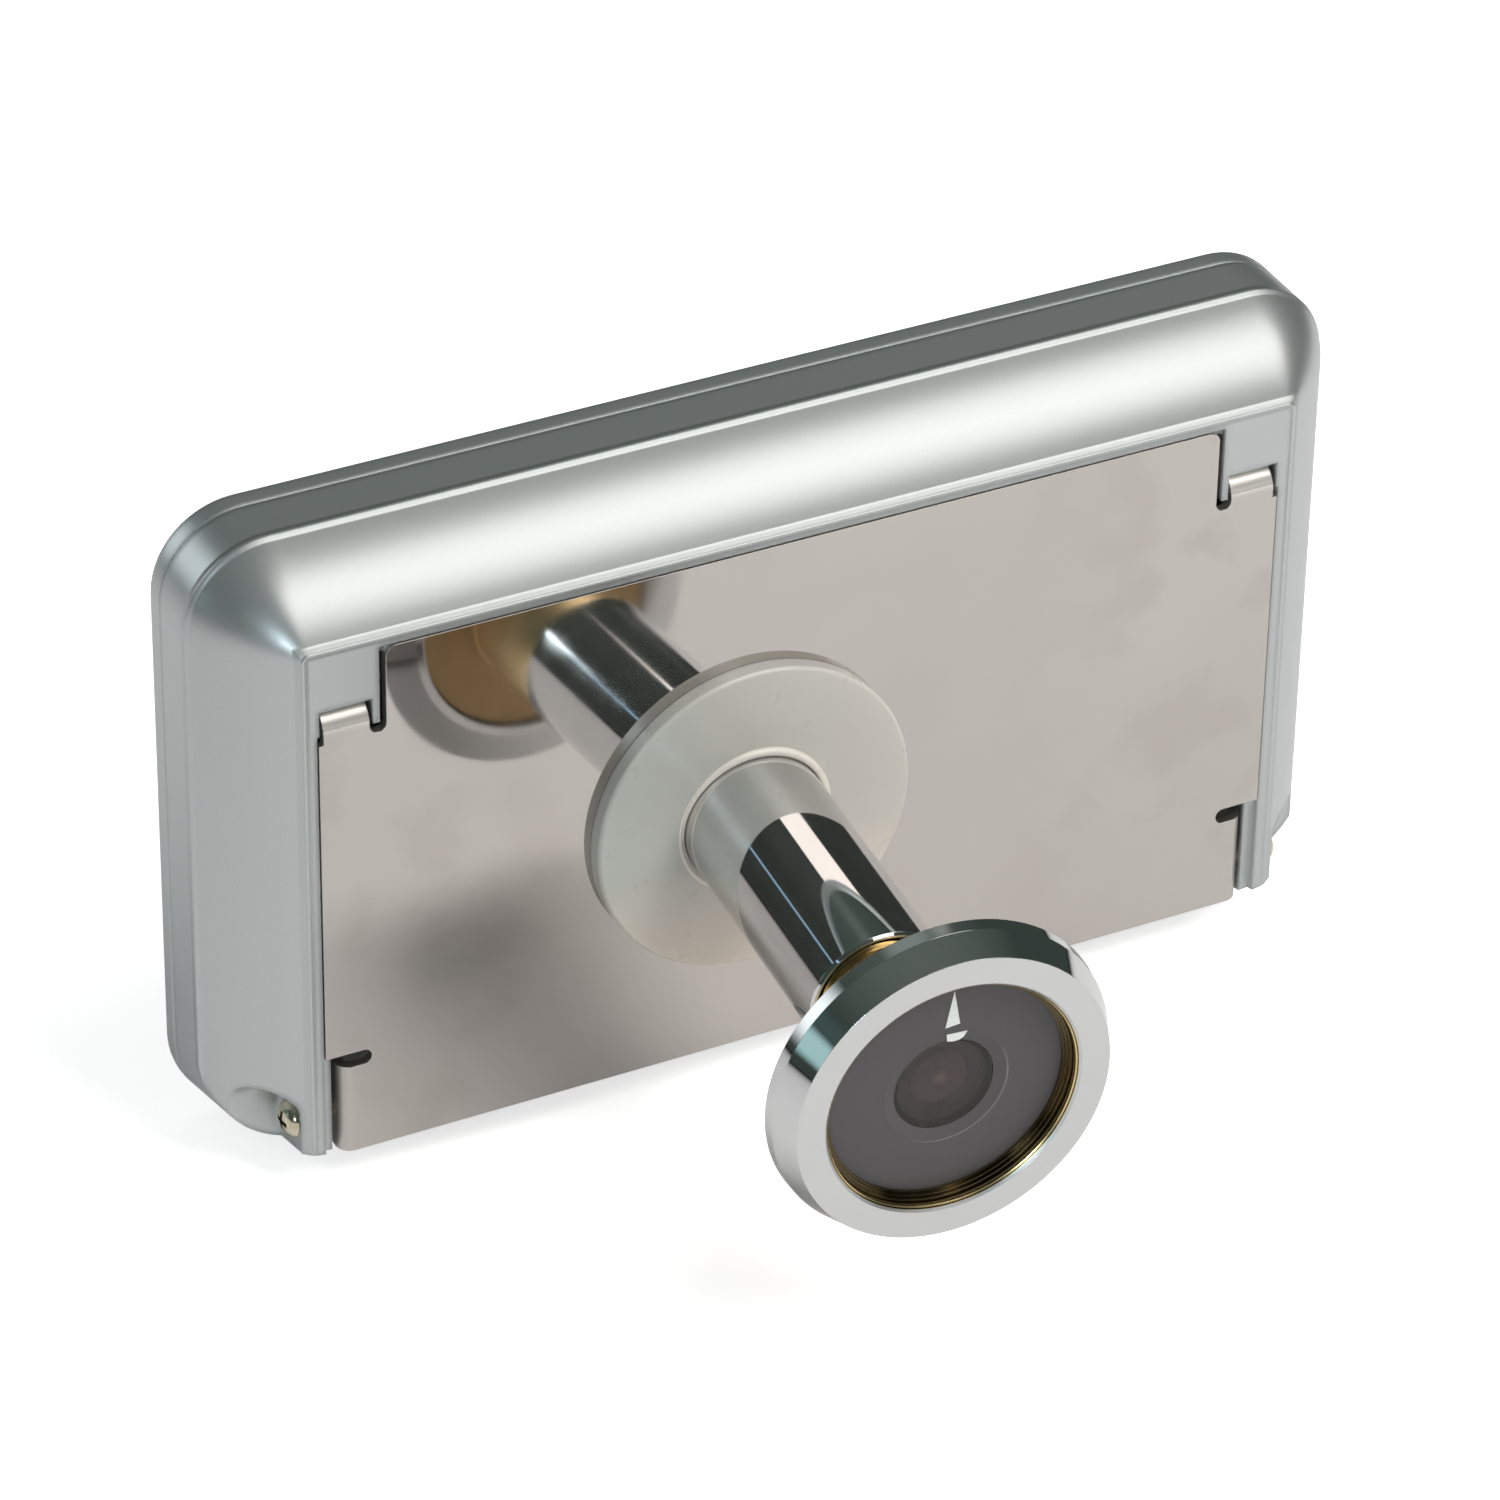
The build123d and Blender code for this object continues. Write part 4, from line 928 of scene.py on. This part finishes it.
lacquer = coat("board_lacquer", lacquer_dark, metallic=0.0, roughness=0.35)
tracks = lacquer.node_tree.nodes.new("ShaderNodeTexVoronoi")
tracks.distance = "CHEBYCHEV"
tracks.feature = "F1"
tracks.inputs["Scale"].default_value = 1 / (2 * track_width)
where = lacquer.node_tree.nodes.new("ShaderNodeTexCoord")
link(lacquer.node_tree, (where.outputs["Object"], tracks.inputs["Vector"]))
raised = between(lacquer, tracks.outputs["Distance"], *track_edge, 0, 1)
drive(lacquer, "Base Color", blend(lacquer, raised, lacquer_dark, lacquer_light))
drive(lacquer, "Roughness", wander(lacquer, lacquer_cloud_size, *lacquer_roughness))
relief(lacquer, raised, *track_relief)
dress(lacquer, "main_board", "button_board", "sensor_board")

# Battery cells: three steel cans of the small pencil size in a shrunk film, dark with a lighter
# band at the top. They stand side by side in the bay behind the plate.
film_dark = (0.045, 0.050, 0.060, 1)
film_light = (0.075, 0.080, 0.090, 1)
film_band = (0.50, 0.30, 0.10, 1)
film_cloud_size = 2 * mm
film_roughness = (0.25, 0.4)
band_start = 8 * mm

film = coat("cell_film", film_dark, metallic=0.0, roughness=0.3)
wrapped = blend(film, pattern(film, film_cloud_size), film_dark, film_light)
banded = maths(film.node_tree, "GREATER_THAN", along(film, "Z"), band_start)
drive(film, "Base Color", blend(film, banded, wrapped, film_band))
drive(film, "Roughness", wander(film, film_cloud_size, *film_roughness))
dress(film, "battery_cells")

# Battery contacts: springy steel, nickelled and slightly dull. A flat plate meets each cell's
# raised end, and a bent leaf presses on its flat end.
contact_dark = (0.50, 0.48, 0.43, 1)
contact_light = (0.64, 0.61, 0.55, 1)
contact_cloud_size = 1 * mm
contact_roughness = (0.2, 0.34)
contact_line_size = 0.2 * mm
contact_line_stretch = (1, 0.1, 1)
contact_relief = (0.003 * mm, 0.3, 0.05 * mm)

contact = coat("contact_steel", contact_light, metallic=1.0, roughness=0.25)
vary(contact, contact_cloud_size, contact_dark, contact_light, *contact_roughness)
relief(contact, pattern(contact, contact_line_size, contact_line_stretch), *contact_relief)
dress(contact, "battery_contacts")

# Screws: domed pan heads with a cross recess, nickelled steel. Two hold the flanges of the
# mounting plate at the case's lower corners, and the others hold the case and its boards.
nickel_dark = (0.52, 0.47, 0.35, 1)
nickel_light = (0.74, 0.69, 0.56, 1)
nickel_cloud_size = 1.2 * mm
nickel_roughness = (0.14, 0.28)
nickel_grain_size = 0.3 * mm
nickel_relief = (0.004 * mm, 0.3, 0.06 * mm)
screw_head_radius = 2.0 * mm
screw_head_height = 1.3 * mm
screw_radius = 1.0 * mm
recess_width = 0.5 * mm
recess_reach = 2.2 * mm
recess_depth = 0.75 * mm
dome_power = 2.8
dome_segments, dome_rings, shank_facets = 40, 20, 24
# Heights on the unit ball above this one belong to its dome
dome_foot = 0.001
street, into_room = (0, -1, 0), (0, 1, 0)
# node: (body, shank length, places of the head's seat, ways the head points), in millimetres
screw_sets = {
    "lock_screw_left": ("left_lock", 3.8, ((-48.2, 4.85, -24.5),), ((-1, 0, 0),)),
    "lock_screw_right": ("right_lock", 3.8, ((61.6, 4.85, -24.5),), ((1, 0, 0),)),
    "case_screws": ("monitor", 10.0, ((-1.8, 7.85, -25.6), (50.7, 7.85, -25.6)), (street, street)),
    "board_screws": ("monitor", 4.0,
                     ((1.7, 13.7, 30.3), (58.7, 13.7, 30.3),
                      (-46.65, 12.8, 7.5), (-46.65, 12.8, -7.5)),
                     (street, street, into_room, into_room)),
}

nickel = coat("nickel", nickel_light, metallic=1.0, roughness=0.18)
vary(nickel, nickel_cloud_size, nickel_dark, nickel_light, *nickel_roughness)
relief(nickel, pattern(nickel, nickel_grain_size), *nickel_relief)

# The screw tree: a ball flattened into a domed head with two crossed bars cut from it, and its
# shank, set on every point along the point's own outward direction.
screws, given, result = growth("pan_screws", Material=nickel, Head_Radius=screw_head_radius,
                               Head_Height=screw_head_height, Shank_Radius=screw_radius,
                               Length=mm, Recess_Width=recess_width,
                               Recess_Reach=recess_reach, Recess_Depth=recess_depth)
ball = step(screws, "GeometryNodeMeshUVSphere", Segments=dome_segments, Rings=dome_rings,
            Radius=1.0)
position = step(screws, "GeometryNodeInputPosition").outputs[0]
spot = step(screws, "ShaderNodeSeparateXYZ", Vector=position).outputs
from_middle = diagonal(screws, spot["X"], spot["Y"])
dome = maths(screws, "SUBTRACT", 1.0, maths(screws, "POWER", from_middle, dome_power))
dome = maths(screws, "SQRT", maths(screws, "MAXIMUM", dome, 0.0))
dome = maths(screws, "MULTIPLY", dome, given["Head_Height"])
dome = maths(screws, "MULTIPLY", dome, maths(screws, "GREATER_THAN", spot["Z"], dome_foot))
width, breadth = (maths(screws, "MULTIPLY", spot[axis], given["Head_Radius"]) for axis in "XY")
domed = step(screws, "ShaderNodeCombineXYZ", X=width, Y=breadth, Z=dome).outputs[0]
head = step(screws, "GeometryNodeSetPosition", Geometry=ball.outputs["Mesh"], Position=domed)
recessed = step(screws, "GeometryNodeMeshBoolean", {"operation": "DIFFERENCE", "solver": "EXACT"})
link(screws, (head.outputs[0], recessed.inputs["Mesh 1"]))
deep = maths(screws, "MULTIPLY", given["Recess_Depth"], 2.0)
lift = step(screws, "ShaderNodeCombineXYZ", Z=given["Head_Height"]).outputs[0]
for wide, high in (("Recess_Width", "Recess_Reach"), ("Recess_Reach", "Recess_Width")):
    size = step(screws, "ShaderNodeCombineXYZ", X=given[wide], Y=given[high], Z=deep).outputs[0]
    bar = step(screws, "GeometryNodeMeshCube", Size=size).outputs["Mesh"]
    lifted = step(screws, "GeometryNodeTransform", Geometry=bar, Translation=lift)
    link(screws, (lifted.outputs[0], recessed.inputs["Mesh 2"]))
shank = step(screws, "GeometryNodeMeshCylinder", Vertices=shank_facets,
             Radius=given["Shank_Radius"], Depth=given["Length"]).outputs["Mesh"]
half_length = maths(screws, "MULTIPLY", given["Length"], -0.5)
drop = step(screws, "ShaderNodeCombineXYZ", Z=half_length).outputs[0]
lowered = step(screws, "GeometryNodeTransform", Geometry=shank, Translation=drop)
screw = step(screws, "GeometryNodeJoinGeometry")
link(screws, (recessed.outputs["Mesh"], screw.inputs[0]), (lowered.outputs[0], screw.inputs[0]))
outward = step(screws, "GeometryNodeInputNamedAttribute", {"data_type": "FLOAT_VECTOR"},
               Name="outward").outputs["Attribute"]
facing = step(screws, "FunctionNodeAlignRotationToVector", {"axis": "Z"}, Vector=outward)
placed = step(screws, "GeometryNodeInstanceOnPoints", Points=given["Geometry"],
              Instance=screw.outputs[0], Rotation=facing.outputs[0])
real = step(screws, "GeometryNodeRealizeInstances", Geometry=placed.outputs[0])
dressed = step(screws, "GeometryNodeSetMaterial", Geometry=real.outputs[0],
               Material=given["Material"])
link(screws, (dressed.outputs[0], result["Geometry"]))
for name, (body, length, places, ways) in screw_sets.items():
    grow(name + "_turned", places, screws, {"Length": length * mm}, body, nickel,
         "screw_nickel", name, directions=ways)
